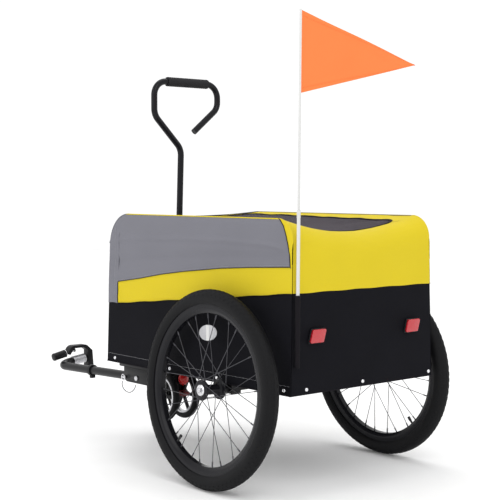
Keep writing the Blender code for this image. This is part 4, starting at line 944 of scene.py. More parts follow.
def end_zone(outwards, low, high, out, rows, columns=44):
    """A piece of an end wall from one height to another; high None takes it over the top."""
    cache = {}

    def surface(u, v):
        across = 2 * u - 1
        if u not in cache:
            cache[u] = end_path(outwards, across)
        path = cache[u]
        steps = [0.0]
        for first, second in zip(path, path[1:]):
            steps.append(steps[-1] + (second - first).length)
        start = low(across) - BOX_LOW
        end = steps[-1] if high is None else high(across) - BOX_LOW
        goal = start + (end - start) * v
        index = next(
            (i for i in range(len(path) - 1) if steps[i + 1] >= goal - 1e-9), len(path) - 2
        )
        share = (goal - steps[index]) / max(steps[index + 1] - steps[index], 1e-9)
        point = path[index].lerp(path[index + 1], min(max(share, 0.0), 1.0))
        run = (path[index + 1] - path[index]).normalized()
        normal = Vector((run.z * outwards, 0, -run.x * outwards))
        half = HALF - LEAN * (point.z - BOX_LOW) - 0.0036
        edge = min(1.0, (1 - abs(across)) / 0.15, max(goal, 0.0) / 0.03, (steps[-1] - goal) / 0.03)
        wave = 0.0016 * soft_noise(across * 0.25, goal, 11, 5 + outwards)
        wave += 0.0012 * math.sin(goal * 30 + 3 * soft_noise(across * 0.25, goal, 6, 2))
        point = point + normal * (out + max(edge, 0.0) * wave - 0.0010)
        return at(point.x, across * half, point.z), across * half, goal

    return cloth_grid(columns, rows, surface, reverse=outwards > 0)


def rear_line(across):
    return REAR_BLACK_TOP + 0.0006 * math.sin(across * 14)


def front_line(across):
    return FRONT_BLACK_TOP + 0.0006 * math.sin(across * 12)


ends = {
    "rear_lower_cloth": (
        end_zone(-1, lambda a: BOX_LOW, lambda a: rear_line(a) + 0.008, 0.0, 26), BLACK_CLOTH,
        "black_cloth", "rear_panel",
    ),
    "rear_upper_cloth": (
        end_zone(-1, rear_line, None, 0.0008, 40), YELLOW_CLOTH, "yellow_cloth", None
    ),
    "front_lower_cloth": (
        end_zone(1, lambda a: BOX_LOW, lambda a: front_line(a) + 0.008, 0.0, 20), BLACK_CLOTH,
        "black_cloth", "front_panel",
    ),
    "front_upper_cloth": (
        end_zone(1, front_line, None, 0.0008, 44), GREY_CLOTH, "grey_cloth", None
    ),
}
for name, (piece, material, slot, node) in ends.items():
    finish(piece, name, material, "trailer", slot, (node,) if node else (), 60)


print("grids laid on the end walls:", len(ends))

# %% [markdown]
# ## Seams and stitches of the end walls
# The hem and the line where the colours meet get a thin binding and a row of stitches, which follow
# the same gentle wave as the cloth under them.


# %% Seams and stitches of the end walls
def end_line(outwards, height, out):
    """Points across an end wall at a height, on the cloth."""
    points = []
    for index in range(41):
        across = -0.99 + 1.98 * index / 40
        share = (height(across) - BOX_LOW) / (BOX_TOP - BOX_LOW)
        x = BOX_REAR + 0.004 * share if outwards < 0 else BOX_FRONT - 0.006 * share
        goal = height(across) - BOX_LOW
        edge = max(min(1.0, (1 - abs(across)) / 0.15, goal / 0.03), 0.0)
        wave = 0.0016 * soft_noise(across * 0.25, goal, 11, 5 + outwards)
        wave += 0.0012 * math.sin(goal * 30 + 3 * soft_noise(across * 0.25, goal, 6, 2))
        half = HALF - LEAN * goal - 0.0036
        points.append(
            at(x + outwards * (out + edge * wave - 0.0010), across * half, height(across))
        )
    return points


for outwards, line, name in ((-1, rear_line, "rear"), (1, front_line, "front")):
    lines = [
        seam(end_line(outwards, line, 0.0010), 0.0009),
        seam(end_line(outwards, lambda a: BOX_LOW + 0.0015, 0.0), 0.0016),
    ]
    finish(merge_into(*lines), name + "_seams", BINDING, "trailer", "black_cloth", (), 60)
    rows = stitches(
        end_line(outwards, lambda a: BOX_LOW + 0.024, 0.0002), HEM_STITCH, THREAD_RADIUS,
        (outwards, 0, 0),
    )
    finish(rows, name + "_hem_stitches", THREAD, "trailer", "grey_cloth", (), 60)
    rows = stitches(
        end_line(outwards, lambda a, line=line: line(a) + 0.004, 0.0008), STITCH, THREAD_RADIUS,
        (outwards, 0, 0),
    )
    thread = YELLOW_THREAD if outwards < 0 else THREAD
    finish(
        rows, name + "_line_stitches", thread, "trailer",
        "yellow_cloth" if outwards < 0 else "grey_cloth", (), 60,
    )


print("end wall cloths:", list(ends))

# %% [markdown]
# ## Snap fasteners
# Bright studs hold the hem to the frame. One outline is spun into a stud, which is set on the cloth
# at each place and turned to face out.


# %% Snap fasteners along the hem
def snap(place, direction):
    """A low domed stud whose flat back lies on the cloth."""
    outline = [
        (0.0, 0.0026), (0.0022, 0.0025), (0.0036, 0.0020), (0.0046, 0.0010), (0.0050, 0.0),
        (0.0, 0.0),
    ]
    stud = lathe(outline, 20, closed=False)
    turn = Vector((0, 0, 1)).rotation_difference(Vector(direction)).to_matrix().to_4x4()
    return seat(stud, Matrix.Translation(place) @ turn)


SIDE_SNAPS, REAR_SNAPS = (0.4996, 0.2380, 0.0383, -0.2165), (0.200, 0.0075, -0.240)
studs = []
for side in (1, -1):
    for x in SIDE_SNAPS:
        studs.append(snap(side_point(x, 0.2692, side, 0.0002), (0, side, 0)))
for y in REAR_SNAPS:
    studs.append(snap(at(BOX_REAR - 0.0004, y, 0.2695), (-1, 0, 0)))
finish(merge_into(*studs), "hem_snaps", CHROME, "trailer", "steel", (), 40)
print("snaps:", len(studs))

# %% [markdown]
# ## Cover and window
# The cover hangs between the hoops. Its yellow border is one ring of cloth, a thin black binding
# goes round the opening, and the net fills it. All three turn with the cover.

# %% Cover
WINDOW = (-0.160, 0.425, 0.195, 0.025)


def window_point(u, inset):
    """A point on the window's outline, moved inwards; u goes once round."""
    low, high, half, corner = WINDOW[0] + inset, WINDOW[1] - inset, WINDOW[2] - inset, max(
        WINDOW[3] - inset, 0.004
    )
    path = rounded(
        [(low, -half, 0), (high, -half, 0), (high, half, 0), (low, half, 0)], [corner] * 4, 8, True
    )
    path.append(path[0])
    steps = [0.0]
    for first, second in zip(path, path[1:]):
        steps.append(steps[-1] + (second - first).length)
    goal = (u % 1.0) * steps[-1]
    index = next(i for i in range(len(path) - 1) if steps[i + 1] >= goal - 1e-12)
    return path[index].lerp(
        path[index + 1], (goal - steps[index]) / max(steps[index + 1] - steps[index], 1e-9)
    )


COVER_LOW, COVER_HIGH = REAR_TOP + REAR_CORNER + 0.0023, FRONT_TOP - FRONT_CORNER - 0.0023
COVER_HALF = HALF - LEAN * (BOX_TOP - BOX_LOW) - 0.0039


def border_point(u):
    """The cover's outer edge straight out from the window's point, so that the cloth doesn't twist."""
    inner = window_point(u, 0)
    middle = Vector(((WINDOW[0] + WINDOW[1]) / 2, 0, 0))
    spread = Vector(((WINDOW[1] - WINDOW[0]) / 2, WINDOW[2], 1))
    offset = inner - middle
    scale = 1 / max(abs(offset.x) / spread.x, abs(offset.y) / spread.y)
    x = (COVER_LOW + COVER_HIGH) / 2 + offset.x / spread.x * scale * (COVER_HIGH - COVER_LOW) / 2
    return Vector((x, offset.y / spread.y * scale * COVER_HALF, 0))


def cover_point(point, depth, ripple=1.0):
    lift = 0.0007 * math.sin(point.x * 60) * math.sin(point.y * 40) + 0.0010 * soft_noise(
        point.x, point.y, 12, 4
    )
    return at(point.x, point.y, top_height(point.x, point.y) - depth + lift * ripple)


ROUND = 240
rim_points = [border_point(index / ROUND) for index in range(ROUND)]
hole_points = [window_point(index / ROUND, -0.0005) for index in range(ROUND)]


def border_surface(u, v):
    index = round(u * ROUND) % ROUND
    point = rim_points[index].lerp(hole_points[index], v)
    return cover_point(point, 0.0008), point.x, point.y


border = tidy_mesh(cloth_grid(ROUND, 8, border_surface, 0.0016))
finish(border, "cover_border", YELLOW_CLOTH, "cover", "yellow_cloth", ("top_cover",), 60)
print("stations round the window:", ROUND)

# %% [markdown]
# ## Binding and net
# A folded tape hides the cut edge of the border, a little uneven as sewn tape is. The net is a second,
# looser cloth under it. Both follow the cover, which hangs lower in the middle than at the hoops.


# %% Binding and net
def binding_surface(u, v):
    wobble = 0.0008 * math.sin(u * 2 * math.pi * 34) + 0.0006 * math.sin(u * 2 * math.pi * 61)
    point = window_point(u, -0.0045 + 0.0085 * v + wobble)
    bulge = 0.0006 * math.sin(math.pi * v)
    return cover_point(point, -0.0001 - bulge), point.x, point.y


binding = tidy_mesh(cloth_grid(ROUND, 5, binding_surface, 0.0012))
finish(binding, "window_binding", BINDING, "cover", "black_cloth", (), 60)


def net_surface(u, v):
    x = WINDOW[0] + 0.0010 + (WINDOW[1] - WINDOW[0] - 0.0020) * (0.5 - 0.5 * math.cos(math.pi * u))
    reach = min(x - WINDOW[0], WINDOW[1] - x)
    cut = WINDOW[3] - math.sqrt(max(WINDOW[3] ** 2 - max(WINDOW[3] - reach, 0.0) ** 2, 0.0))
    y = (WINDOW[2] - 0.0010 - cut) * (2 * v - 1)
    return cover_point(Vector((x, y, 0)), 0.0015), x, y


net = cloth_grid(60, 40, net_surface, 0.0008)
finish(net, "window_net", NET, "cover", "mesh_cloth", ("mesh_window",), 60)
# 0.0935 is not a measured area. The call takes no area under 0.3 of the flat rectangle, and this
# ring covers less, so the number below overstates the cloth. The line above prints the real one.
print("cover pieces:", border.name, binding.name, net.name)

# %% [markdown]
# ## Main wheels
# Each wheel is laced from a bright hub and 28 thin spokes with nipples into a black rim. The tyre
# has a fine block tread over a smooth side, and a reflector is clipped between the spokes.


# %% Wheel frames
def wheel_matrix(side):
    """The wheel's own frame: its middle on the axle, with Z out along the axle."""
    node = JOINTS["left_wheel_spin" if side > 0 else "right_wheel_spin"]
    return local_frame(node["pos_m"], (side, 0, 0), (0, side * 0.99849, 0.05495))


def tyre(radius, section, inner, sides, steps, tread, angle_steps):
    """A round tyre whose crown carries rows of small raised blocks."""
    middle = radius - section
    start = math.acos((inner - middle) / section)
    outline = []
    for index in range(sides + 1):
        angle = start - 2 * start * index / sides
        shoulder = 1.0 + 0.012 * math.cos(4 * angle)
        outline.append((middle + section * math.cos(angle) * shoulder, section * math.sin(angle)))
    ring = lathe(outline, steps)
    edit(ring)

    def on_block(point):
        turn = math.atan2(point.y, point.x) / (2 * math.pi) * angle_steps
        lean = math.atan2(point.z, math.hypot(point.x, point.y) - middle)
        if abs(lean) > tread:
            return False
        row = int((lean + tread) / (2 * tread) * 7)
        return (
            turn + 0.5 * (row % 2)
        ) % 1.0 < 0.62 and (lean + tread) / (2 * tread) * 7 % 1.0 < 0.75

    pick(ring, "FACE", on_block)
    bpy.ops.mesh.extrude_region_shrink_fatten(TRANSFORM_OT_shrink_fatten={"value": 0.0007})
    done_editing()
    return ring


def small_ball(place, radius, sides=12):
    bpy.ops.object.select_all(action="DESELECT")
    bpy.ops.mesh.primitive_uv_sphere_add(
        segments=sides, ring_count=sides // 2, radius=radius, location=place
    )
    return seat(bpy.context.object)


SPOKES = 28


def spoke_ends(index):
    """Where a spoke leaves the hub flange and where it meets the rim; sides alternate."""
    rim_angle = math.radians(-96.4) + index * 2 * math.pi / SPOKES
    outer, leading = index % 2 == 0, (index // 2) % 2 == 0
    hub_angle = rim_angle + math.radians(52 if leading else -52)
    level = (0.0235 if outer else -0.033) + (0.0016 if leading else -0.0016)
    start = Vector((math.cos(hub_angle) * 0.0235, math.sin(hub_angle) * 0.0235, level))
    end = Vector(
        (math.cos(rim_angle) * 0.1905, math.sin(rim_angle) * 0.1905, 0.003 if outer else -0.003)
    )
    return start, end


print("wheel axle at", [round(value, 3) for value in wheel_matrix(1).translation])

# %% [markdown]
# ## One wheel, made twice
# Everything is turned round the wheel's own axis first and seated in the wheel's frame last, because
# it is far easier to spin a rim upright at the middle than at its leaning place on the axle.


# %% Tyres, rims, hubs and spokes
for side, name in SIDE_NAMES.items():
    matrix = wheel_matrix(side)
    body = name + "_wheel"
    piece = tyre(0.250, 0.022, 0.2133, 34, 176, 1.25, 88)
    finish(
        seat(piece, matrix), name + "_tread_tyre", TYRE_RUBBER, body, "tyre_rubber",
        (name + "_tyre",), 50,
    )
    outline = [
        (0.2125, 0.0135), (0.2160, 0.0142), (0.2165, 0.0128), (0.2135, 0.0110), (0.2080, 0.0105),
        (0.2060, 0.0),
        (0.2080, -0.0105), (0.2135, -0.0110), (0.2165, -0.0128), (0.2160, -0.0142),
        (0.2125, -0.0135),
        (0.2035, -0.0138), (0.2000, -0.0128), (0.1930, -0.0090), (0.1912, -0.0072), (0.1908, 0.0),
        (0.1912, 0.0072), (0.1930, 0.0090), (0.2000, 0.0128), (0.2035, 0.0138),
    ]
    rim = lathe(outline, 112)
    finish(
        seat(rim, matrix), name + "_wheel_rim", BLACK_GLOSS, body, "black_paint", (name + "_rim",),
        30,
    )
    direction = Vector((math.cos(math.radians(51)), math.sin(math.radians(51)), 0))
    valve = rod(direction * 0.193, direction * 0.1775, 0.0030, 16, 0.0004)
    cap = rod(direction * 0.1800, direction * 0.1692, 0.0040, 12, 0.0008)
    finish(seat(merge_into(valve, cap), matrix), name + "_valve", SOFT_RUBBER, body, "rubber")
    outline = [
        (0.0063, 0.0262), (0.0238, 0.0262), (0.0258, 0.0254), (0.0262, 0.0240), (0.0258, 0.0220),
        (0.0240, 0.0210),
        (0.0165, 0.0195), (0.0135, 0.0150), (0.0126, 0.0060), (0.0126, -0.0150), (0.0140, -0.0240),
        (0.0175, -0.0280), (0.0245, -0.0300), (0.0260, -0.0310), (0.0260, -0.0342),
        (0.0245, -0.0350),
        (0.0150, -0.0362), (0.0125, -0.0385), (0.0063, -0.0385),
    ]
    hub = lathe(outline, 56)
    finish(
        seat(hub, matrix), name + "_hub_shell", BLACK_GLOSS, body, "black_paint", (name + "_hub",),
        30,
    )
    wires = []
    for index in range(SPOKES):
        start, end = spoke_ends(index)
        run = (end - start).normalized()
        wires.append(rod(start, end - run * 0.006, 0.00095, 8))
        wires.append(rod(end - run * 0.0125, end + run * 0.0006, 0.0018, 8, 0.0003))
        wires.append(small_ball(start + Vector((0, 0, 0.0004)), 0.0018, 8))
    spokes = merge_into(*wires)
    finish(seat(spokes, matrix), name + "_spokes", DARK_STEEL, body, "steel")
    outline = [
        (0.0034, 0.0268), (0.0034, 0.0282), (0.0080, 0.0284), (0.0105, 0.0300), (0.0118, 0.0302),
        (0.0134, 0.0294),
        (0.0145, 0.0276), (0.0145, 0.0266), (0.0034, 0.0266),
    ]
    cap = lathe(outline, 48)
    shank = rod((0, 0, -0.0600), (0, 0, 0.0130), 0.0059, 24, 0.0005)
    finish(
        seat(merge_into(cap, shank), matrix), name + "_axle", CHROME, "trailer", "steel",
        (name + "_stub_axle",), 30,
    )
    outline = [
        (0.0, 0.0362), (0.0045, 0.0360), (0.0058, 0.0352), (0.0068, 0.0336), (0.0070, 0.0332),
        (0.0028, 0.0331), (0.0028, 0.0215), (0.0, 0.0215),
    ]
    button = lathe(outline, 32, closed=False)
    finish(
        seat(button, matrix), name + "_axle_button", STEEL, name + "_release_button", "steel",
        (name + "_release_button",), 30,
    )
    oval = []
    for index in range(48):
        turn = index * math.pi / 24
        oval.append((0.0200 * math.cos(turn), 0.0350 * math.sin(turn)))
    reflector = plate(oval, 0.0024, 0.0008)
    place = Matrix.Rotation(math.radians(-84.4), 4, "Z") @ Matrix.Translation((0.1417, 0, 0))
    finish(
        seat(reflector, matrix @ place), name + "_wheel_reflector", CLEAR_LENS, body, "clear_lens",
        (name + "_spoke_reflector",), 40,
    )
    band = plate(
        [(-0.0193, -0.0060), (0.0193, -0.0060), (0.0193, 0.0060), (-0.0193, 0.0060)], 0.0034, 0.0005
    )
    finish(seat(band, matrix @ place), name + "_reflector_band", POLE_WHITE, body, "clear_lens")
print("spokes per wheel:", SPOKES)

# %% [markdown]
# ## Castor, brake and swivel lock
# Two small open wheels on one axle, with a black fork between them, the dark red brake pedal and
# the glossy red knob that locks the swivel.

# %% Castor wheels
STEER = at(0.558, -0.012, 0)
for sign, name in ((1, "castor_left"), (-1, "castor_right")):
    matrix = local_frame(at(0.578, -0.012 + sign * 0.038, 0.125), (1, 0, 0), (0, -1, 0))
    body = name + "_wheel"
    piece = tyre(0.077, 0.0095, 0.061, 20, 80, 1.0, 40)
    finish(seat(piece, matrix), name + "_tread", TYRE_RUBBER, body, "rubber", (name + "_tyre",), 50)
    outline = [
        (0.0607, 0.0078), (0.0607, -0.0078), (0.0590, -0.0084), (0.0555, -0.0080),
        (0.0548, -0.0060), (0.0548, 0.0060), (0.0555, 0.0080), (0.0590, 0.0084),
    ]
    finish(
        seat(lathe(outline, 64), matrix), name + "_rim", ZINC, body, "zinc", (name + "_wheel",), 35
    )
    arms = [
        lathe(
            [
                (0.0045, 0.0108), (0.0118, 0.0108), (0.0130, 0.0096), (0.0130, -0.0096),
                (0.0118, -0.0108), (0.0045, -0.0108),
            ],
            32,
        )
    ]
    for index in range(6):
        arm = block((0.0100, -0.0042, -0.0045), (0.0556, 0.0042, 0.0045), 0.0014)
        arms.append(seat(arm, Matrix.Rotation(index * math.pi / 3, 4, "Z")))
    finish(seat(merge_into(*arms), matrix), name + "_spider", BLACK_PLASTIC, body, "black_plastic")
print("castor tyre radius: 0.077 m, two wheels on one axle")

# %% [markdown]
# ## Fork
# The fork is a black moulding: two rounded cheeks with a core between them and a round crown on top.
# The cheeks are plates of one outline, stood upright. The steel steerer goes up through the head tube
# to a small yoke that holds the handle.

# %% Fork and steerer
fork_outline = rounded(
    [
        (-0.022, 0.196, 0), (-0.024, 0.160, 0), (0.0, 0.113, 0), (0.034, 0.111, 0),
        (0.036, 0.139, 0), (0.024, 0.178, 0), (0.022, 0.196, 0),
    ],
    [0.004, 0.01, 0.010, 0.012, 0.010, 0.01, 0.004], 8, True,
)
to_side = Matrix.Translation(STEER) @ Matrix.Rotation(math.pi / 2, 4, "X")
cheeks = []
for y, thick in ((0.0168, 0.0062), (-0.0168, 0.0062)):
    cheek = plate(fork_outline, thick, 0.0012)
    cheeks.append(seat(cheek, Matrix.Translation((0, y, 0)) @ to_side))
core_outline = [
    (-0.004, 0.113), (0.034, 0.113), (0.034, 0.138), (0.022, 0.178), (0.020, 0.195), (-0.004, 0.195)
]
core = plate(core_outline, 0.0282, 0.001)
cheeks.append(seat(core, to_side))
crown = lathe(
    [
        (0.0, 0.2055), (0.0225, 0.2055), (0.0240, 0.2040), (0.0240, 0.1865), (0.0225, 0.1850),
        (0.0, 0.1850),
    ],
    48, closed=False,
)
cheeks.append(seat(crown, Matrix.Translation(STEER)))
finish(
    merge_into(*cheeks), "fork_moulding", BLACK_PLASTIC, "castor", "black_plastic",
    ("castor_fork",), 35,
)
steel_parts = [rod(STEER + Vector((0, 0, 0.206)), STEER + Vector((0, 0, 0.293)), 0.0109, 32)]
steel_parts.append(
    block(STEER + Vector((-0.011, -0.0137, 0.285)), STEER + Vector((0.011, 0.0137, 0.299)), 0.0012)
)
for sign in (-1, 1):
    low, high = sorted((sign * 0.0107, sign * 0.0137))
    steel_parts.append(
        block(STEER + Vector((-0.011, low, 0.286)), STEER + Vector((0.011, high, 0.325)), 0.0010)
    )
finish(merge_into(*steel_parts), "steerer_yoke", BLACK_PAINT, "castor", "black_paint", (), 35)
print("fork made of", len(cheeks), "parts")

# %% [markdown]
# ## Arm, axle and pedal
# A head tube on a flat arm joins the castor to the frame. The axle is a rod with a domed nut at each
# end, and the pedal is a rounded plate with three grip ribs for the foot.

# %% Arm, axle and brake pedal
head = lathe(
    [
        (0.0113, 0.262), (0.0155, 0.262), (0.0165, 0.261), (0.0165, 0.207), (0.0155, 0.206),
        (0.0113, 0.206),
    ],
    48,
)
head = seat(head, Matrix.Translation(STEER))
arm = block(at(0.350, -0.029, 0.2382), at(0.5455, 0.005, 0.2562), 0.003)
pads = [
    block(at(x - 0.009, -0.028, 0.2522), at(x + 0.009, 0.004, 0.2585), 0.001)
    for x in (0.360, 0.519)
]
finish(
    merge_into(head, arm, *pads), "castor_arm", BLACK_PAINT, "trailer", "black_paint",
    ("castor_bracket",), 35,
)
shaft = rod(at(0.578, -0.066, 0.125), at(0.578, 0.042, 0.125), 0.0039, 20)
for sign in (-1, 1):
    turn = Matrix.Translation(
        at(0.578, -0.012 + sign * 0.0497, 0.125)
    ) @ Matrix.Rotation(-sign * math.pi / 2, 4, "X")
    nut = lathe(
        [
            (0.0, 0.0060), (0.0040, 0.0058), (0.0066, 0.0044), (0.0078, 0.0020), (0.0080, 0.0),
            (0.0, 0.0),
        ],
        24, closed=False,
    )
    shaft = merge_into(shaft, seat(nut, turn))
finish(shaft, "castor_shaft", STEEL, "castor", "steel", ("castor_axle",), 35)
pedal_outline = rounded(
    [
        (-0.036, -0.006, 0), (0.005, -0.005, 0), (0.005, 0.006, 0), (-0.016, 0.010, 0),
        (-0.036, 0.006, 0),
    ],
    [0.004, 0.004, 0.004, 0.01, 0.004], 6, True,
)
pedal = plate(pedal_outline, 0.026, 0.002, 3)
pedal = seat(
    pedal, Matrix.Translation(at(0.546, -0.012, 0.133)) @ Matrix.Rotation(math.pi / 2, 4, "X")
)
ribs = [
    block(
        at(0.546 - 0.033 + 0.006 * i, -0.022, 0.1387),
        at(0.546 - 0.0305 + 0.006 * i, -0.002, 0.1403), 0.0006,
    ) for i in range(3)
]
finish(
    merge_into(pedal, *ribs), "brake_pedal", PEDAL_RED, "castor_brake", "red_plastic",
    ("castor_brake",), 35,
)
print("castor arm, axle and pedal made")

# %% [markdown]
# ## Lock knob
# The knob that locks the swivel is a glossy red dome on a short collar. A ball is stretched into the
# dome, because it is smooth all round and has no edge to round off.

# %% Lock knob
bpy.ops.object.select_all(action="DESELECT")
bpy.ops.mesh.primitive_uv_sphere_add(segments=40, ring_count=24, radius=0.5)
dome = bpy.context.object
dome.scale = (0.026, 0.034, 0.036)
dome = seat(seat(dome), Matrix.Translation(at(0.558 - 0.0165 - 0.021, -0.008, 0.178)))
collar = rod(at(0.5295, -0.012, 0.176), at(0.5445, -0.012, 0.176), 0.0054, 24, 0.0006)
finish(
    merge_into(dome, collar), "lock_knob", RED_PLASTIC, "swivel_lock", "red_plastic",
    ("swivel_lock",), 40,
)
print("castor stands at", [round(value, 3) for value in STEER])

# %% [markdown]
# ## Pull handle
# A glossy tube rises from the castor into a flattened open loop, with a foam grip along its top.

# %% Handle
PIVOT = at(0.558, -0.012, 0.315)
stem_top = 1.067 - 0.199
corners = [
    (0, 0, -0.010), (0, -0.018, stem_top - 0.315), (0, 0.080, stem_top + 0.099 - 0.315),
    (0, 0.080, 0.752),
    (0, -0.158, 0.752), (0, -0.158, 0.680), (0, -0.067, 0.606),
]
path = rounded(
    [PIVOT + Vector(corner) for corner in corners], [0, 0.045, 0.045, 0.042, 0.042, 0.040, 0], 14
)
tube = sweep(path, 0.0094, sides=10)
edit(tube)
end_point = path[-1]
pick(tube, "FACE", lambda point: (point - end_point).length < 0.0012)
bpy.ops.mesh.inset(thickness=0.0016, depth=0)
bpy.ops.mesh.inset(thickness=0.0001, depth=-0.020)
done_editing()
finish(tube, "handle_stem", BLACK_GLOSS, "handle", "black_paint", ("handle_tube",), 40)
outline = [(0.0098, 0.0), (0.0122, 0.0), (0.0136, 0.0010), (0.0140, 0.0030)]
outline += [(0.0140 - 0.0003 * (index % 2), 0.006 + index * 0.0035) for index in range(41)]
outline += [(0.0140, 0.1490), (0.0136, 0.1510), (0.0122, 0.1520), (0.0098, 0.1520)]
grip = lathe(outline, 40)
grip = seat(grip, local_frame(at(0.558, -0.130, 1.067), (1, 0, 0), (0, 1, 0)))
finish(grip, "foam_grip", FOAM, "handle", "foam", ("handle_grip",), 50)
pin = rod(at(0.558, -0.029, 0.315), at(0.558, 0.005, 0.315), 0.0029, 16)
for sign in (-1, 1):
    turn = Matrix.Translation(
        at(0.558, -0.012 + sign * 0.0140, 0.315)
    ) @ Matrix.Rotation(-sign * math.pi / 2, 4, "X")
    pin_head = lathe(
        [
            (0.0, 0.0032), (0.0030, 0.0031), (0.0048, 0.0022), (0.0055, 0.0006), (0.0055, 0.0),
            (0.0, 0.0),
        ],
        20, closed=False,
    )
    pin = merge_into(pin, seat(pin_head, turn))
finish(pin, "handle_bolt", STEEL, "castor", "steel", ("handle_pin",), 35)
print("handle reaches z =", round(max(vert.co.z for vert in grip.data.vertices), 3))

# %% [markdown]
# ## Drawbar and hitch
# The bar turns in a channel under the frame. A bright coil spring joins it to the black arched
# clamp, whose screw, washer and knob press a rubber pad on the bicycle's frame.

# %% Drawbar
slope = math.radians(2.0)
BAR = local_frame(
    at(0.442, 0.200, 0.214), (math.cos(slope), 0, -math.sin(slope)),
    (math.sin(slope), 0, math.cos(slope)),
)
rise = math.radians(8)
bar_side = Vector((0, -math.cos(rise), math.sin(rise)))
bar_corner = Vector((0.453, 0, 0))
bar_end = bar_corner + bar_side * 0.052
bar_line = rounded([(-0.019, 0, 0), bar_corner, bar_end], [0, 0.050, 0], 16)
bar_tube = seat(sweep([BAR @ point for point in bar_line], 0.0124, sides=12))
end_cap = seat(rod((-0.0188, 0, 0), (-0.0150, 0, 0), 0.0128, 32, 0.0008), BAR)
finish(bar_tube, "bar_tube", BLACK_PAINT, "drawbar", "black_paint", ("drawbar",), 40)
finish(end_cap, "bar_end_cap", BLACK_PLASTIC, "drawbar", "black_plastic", (), 35)
print("bar bends at", [round(value, 3) for value in BAR @ bar_corner])

# %% [markdown]
# ## Coil spring
# The spring lets the hitch follow the bicycle. A thick wire is swept along a helix of eight turns,
# round a rubber core that keeps dirt out.

# %% Coil spring
turns, coil = 8, []
spring_turn = Vector((0, 0, 1)).rotation_difference(bar_side).to_matrix().to_4x4()
SPRING = BAR @ Matrix.Translation(bar_end) @ spring_turn
for index in range(turns * 28 + 1):
    angle = index / 28 * 2 * math.pi
    height = 0.0030 + (0.050 - 0.0060) * index / (turns * 28)
    coil.append(Vector((0.0122 * math.cos(angle), 0.0122 * math.sin(angle), height)))
wire = seat(sweep(coil, 0.0027, sides=5), SPRING)
finish(wire, "coil_spring", ZINC, "drawbar", "zinc", ("hitch_spring",), 60)
core = seat(rod((0, 0, 0.0005), (0, 0, 0.0495), 0.0088, 24), SPRING)
finish(core, "spring_core", SOFT_RUBBER, "drawbar", "rubber", (), 40)
print("spring turns:", turns)

# %% [markdown]
# ## Clamp arch
# The arch reaches over the bicycle's frame tube. It is one plate cut to the arch's outline and stood
# upright, with all corners rounded, as it would be cast.

# %% Clamp arch
HITCH = Matrix.Translation(Vector(JOINTS["hitch_flex"]["pos_m"]))
block_left = -0.025 * math.cos(rise) - 0.015 * math.sin(rise) - 0.0006
block_right, arch_under, lug_y = block_left - 0.020, 0.038, block_left + 0.0715
arch = [
    (block_right, -0.024), (block_left, -0.024), (block_left, arch_under - 0.010),
    (block_left + 0.016, arch_under),
    (lug_y - 0.020, arch_under), (lug_y - 0.006, arch_under - 0.020),
    (lug_y + 0.005, arch_under - 0.016),
    (lug_y - 0.012, arch_under + 0.0085), (block_left + 0.006, arch_under + 0.0085),
    (block_right + 0.004, arch_under - 0.011),
]
arch_line = rounded(
    [(y, z, 0) for y, z in arch],
    [0.002, 0.001, 0.003, 0.010, 0.012, 0.002, 0.002, 0.020, 0.014, 0.003], 8, True,
)
upright = Matrix(((0, 0, 1, 0), (1, 0, 0, 0), (0, 1, 0, 0), (0, 0, 0, 1)))
clamp = seat(plate(arch_line, 0.028, 0.0014, 3), HITCH @ upright)
finish(clamp, "clamp_arch", BLACK_PLASTIC, "hitch", "black_paint", ("clamp_body",), 40)
print("arch reaches y =", round(max(vert.co.y for vert in clamp.data.vertices), 3))

# %% [markdown]
# ## Screw, knob and pad
# The screw presses a rubber pad on the tube. Its thread is an outline with one ridge for each turn,
# spun about the axis: a true helix would look the same at this size.

# %% Screw, knob and pad
knob_joint = JOINTS["clamp_knob_turn"]
SCREW = local_frame(knob_joint["pos_m"], (1, 0, 0), (0, -0.97815, 0.20791))
thread = [(0.0, 0.0260)]
for index in range(24):
    thread += [(0.0034, 0.0255 - index * 0.00125), (0.0040, 0.0249 - index * 0.00125)]
thread += [(0.0036, -0.0110), (0.0, -0.0110)]
screw = lathe(thread, 24, closed=False)
washer = lathe(
    [
        (0.0040, -0.0058), (0.0118, -0.0058), (0.0125, -0.0063), (0.0125, -0.0070),
        (0.0118, -0.0075), (0.0040, -0.0075),
    ],
    40,
)
finish(
    seat(merge_into(screw, washer), SCREW), "screw_and_washer", CHROME, "clamp_knob", "steel",
    ("clamp_screw",), 35,
)
outline = [(0.0043, -0.0078), (0.0108, -0.0078), (0.0118, -0.0086), (0.0120, -0.0110)]
outline += [(0.0120 if index % 2 else 0.0112, -0.0130 - 0.0028 * index) for index in range(12)]
outline += [
    (0.0120, -0.0470), (0.0114, -0.0500), (0.0095, -0.0508), (0.0, -0.0508), (0.0, -0.0123),
    (0.0043, -0.0123),
]
knob = lathe(outline, 40, closed=False)
finish(
    seat(tidy_mesh(knob), SCREW), "ribbed_knob", BLACK_PLASTIC, "clamp_knob", "black_plastic",
    ("clamp_knob",), 35,
)
pad = lathe(
    [(0.0, 0.0302), (0.0048, 0.0302), (0.0057, 0.0294), (0.0058, 0.0264), (0.0, 0.0264)], 28,
    closed=False,
)
finish(seat(pad, SCREW), "rubber_pad", SOFT_RUBBER, "clamp_pad", "rubber", ("clamp_pad",), 35)
print("thread ridges:", 24)

# %% [markdown]
# ## Strap clip
# A plastic ring with a tab holds the safety strap on the bar.

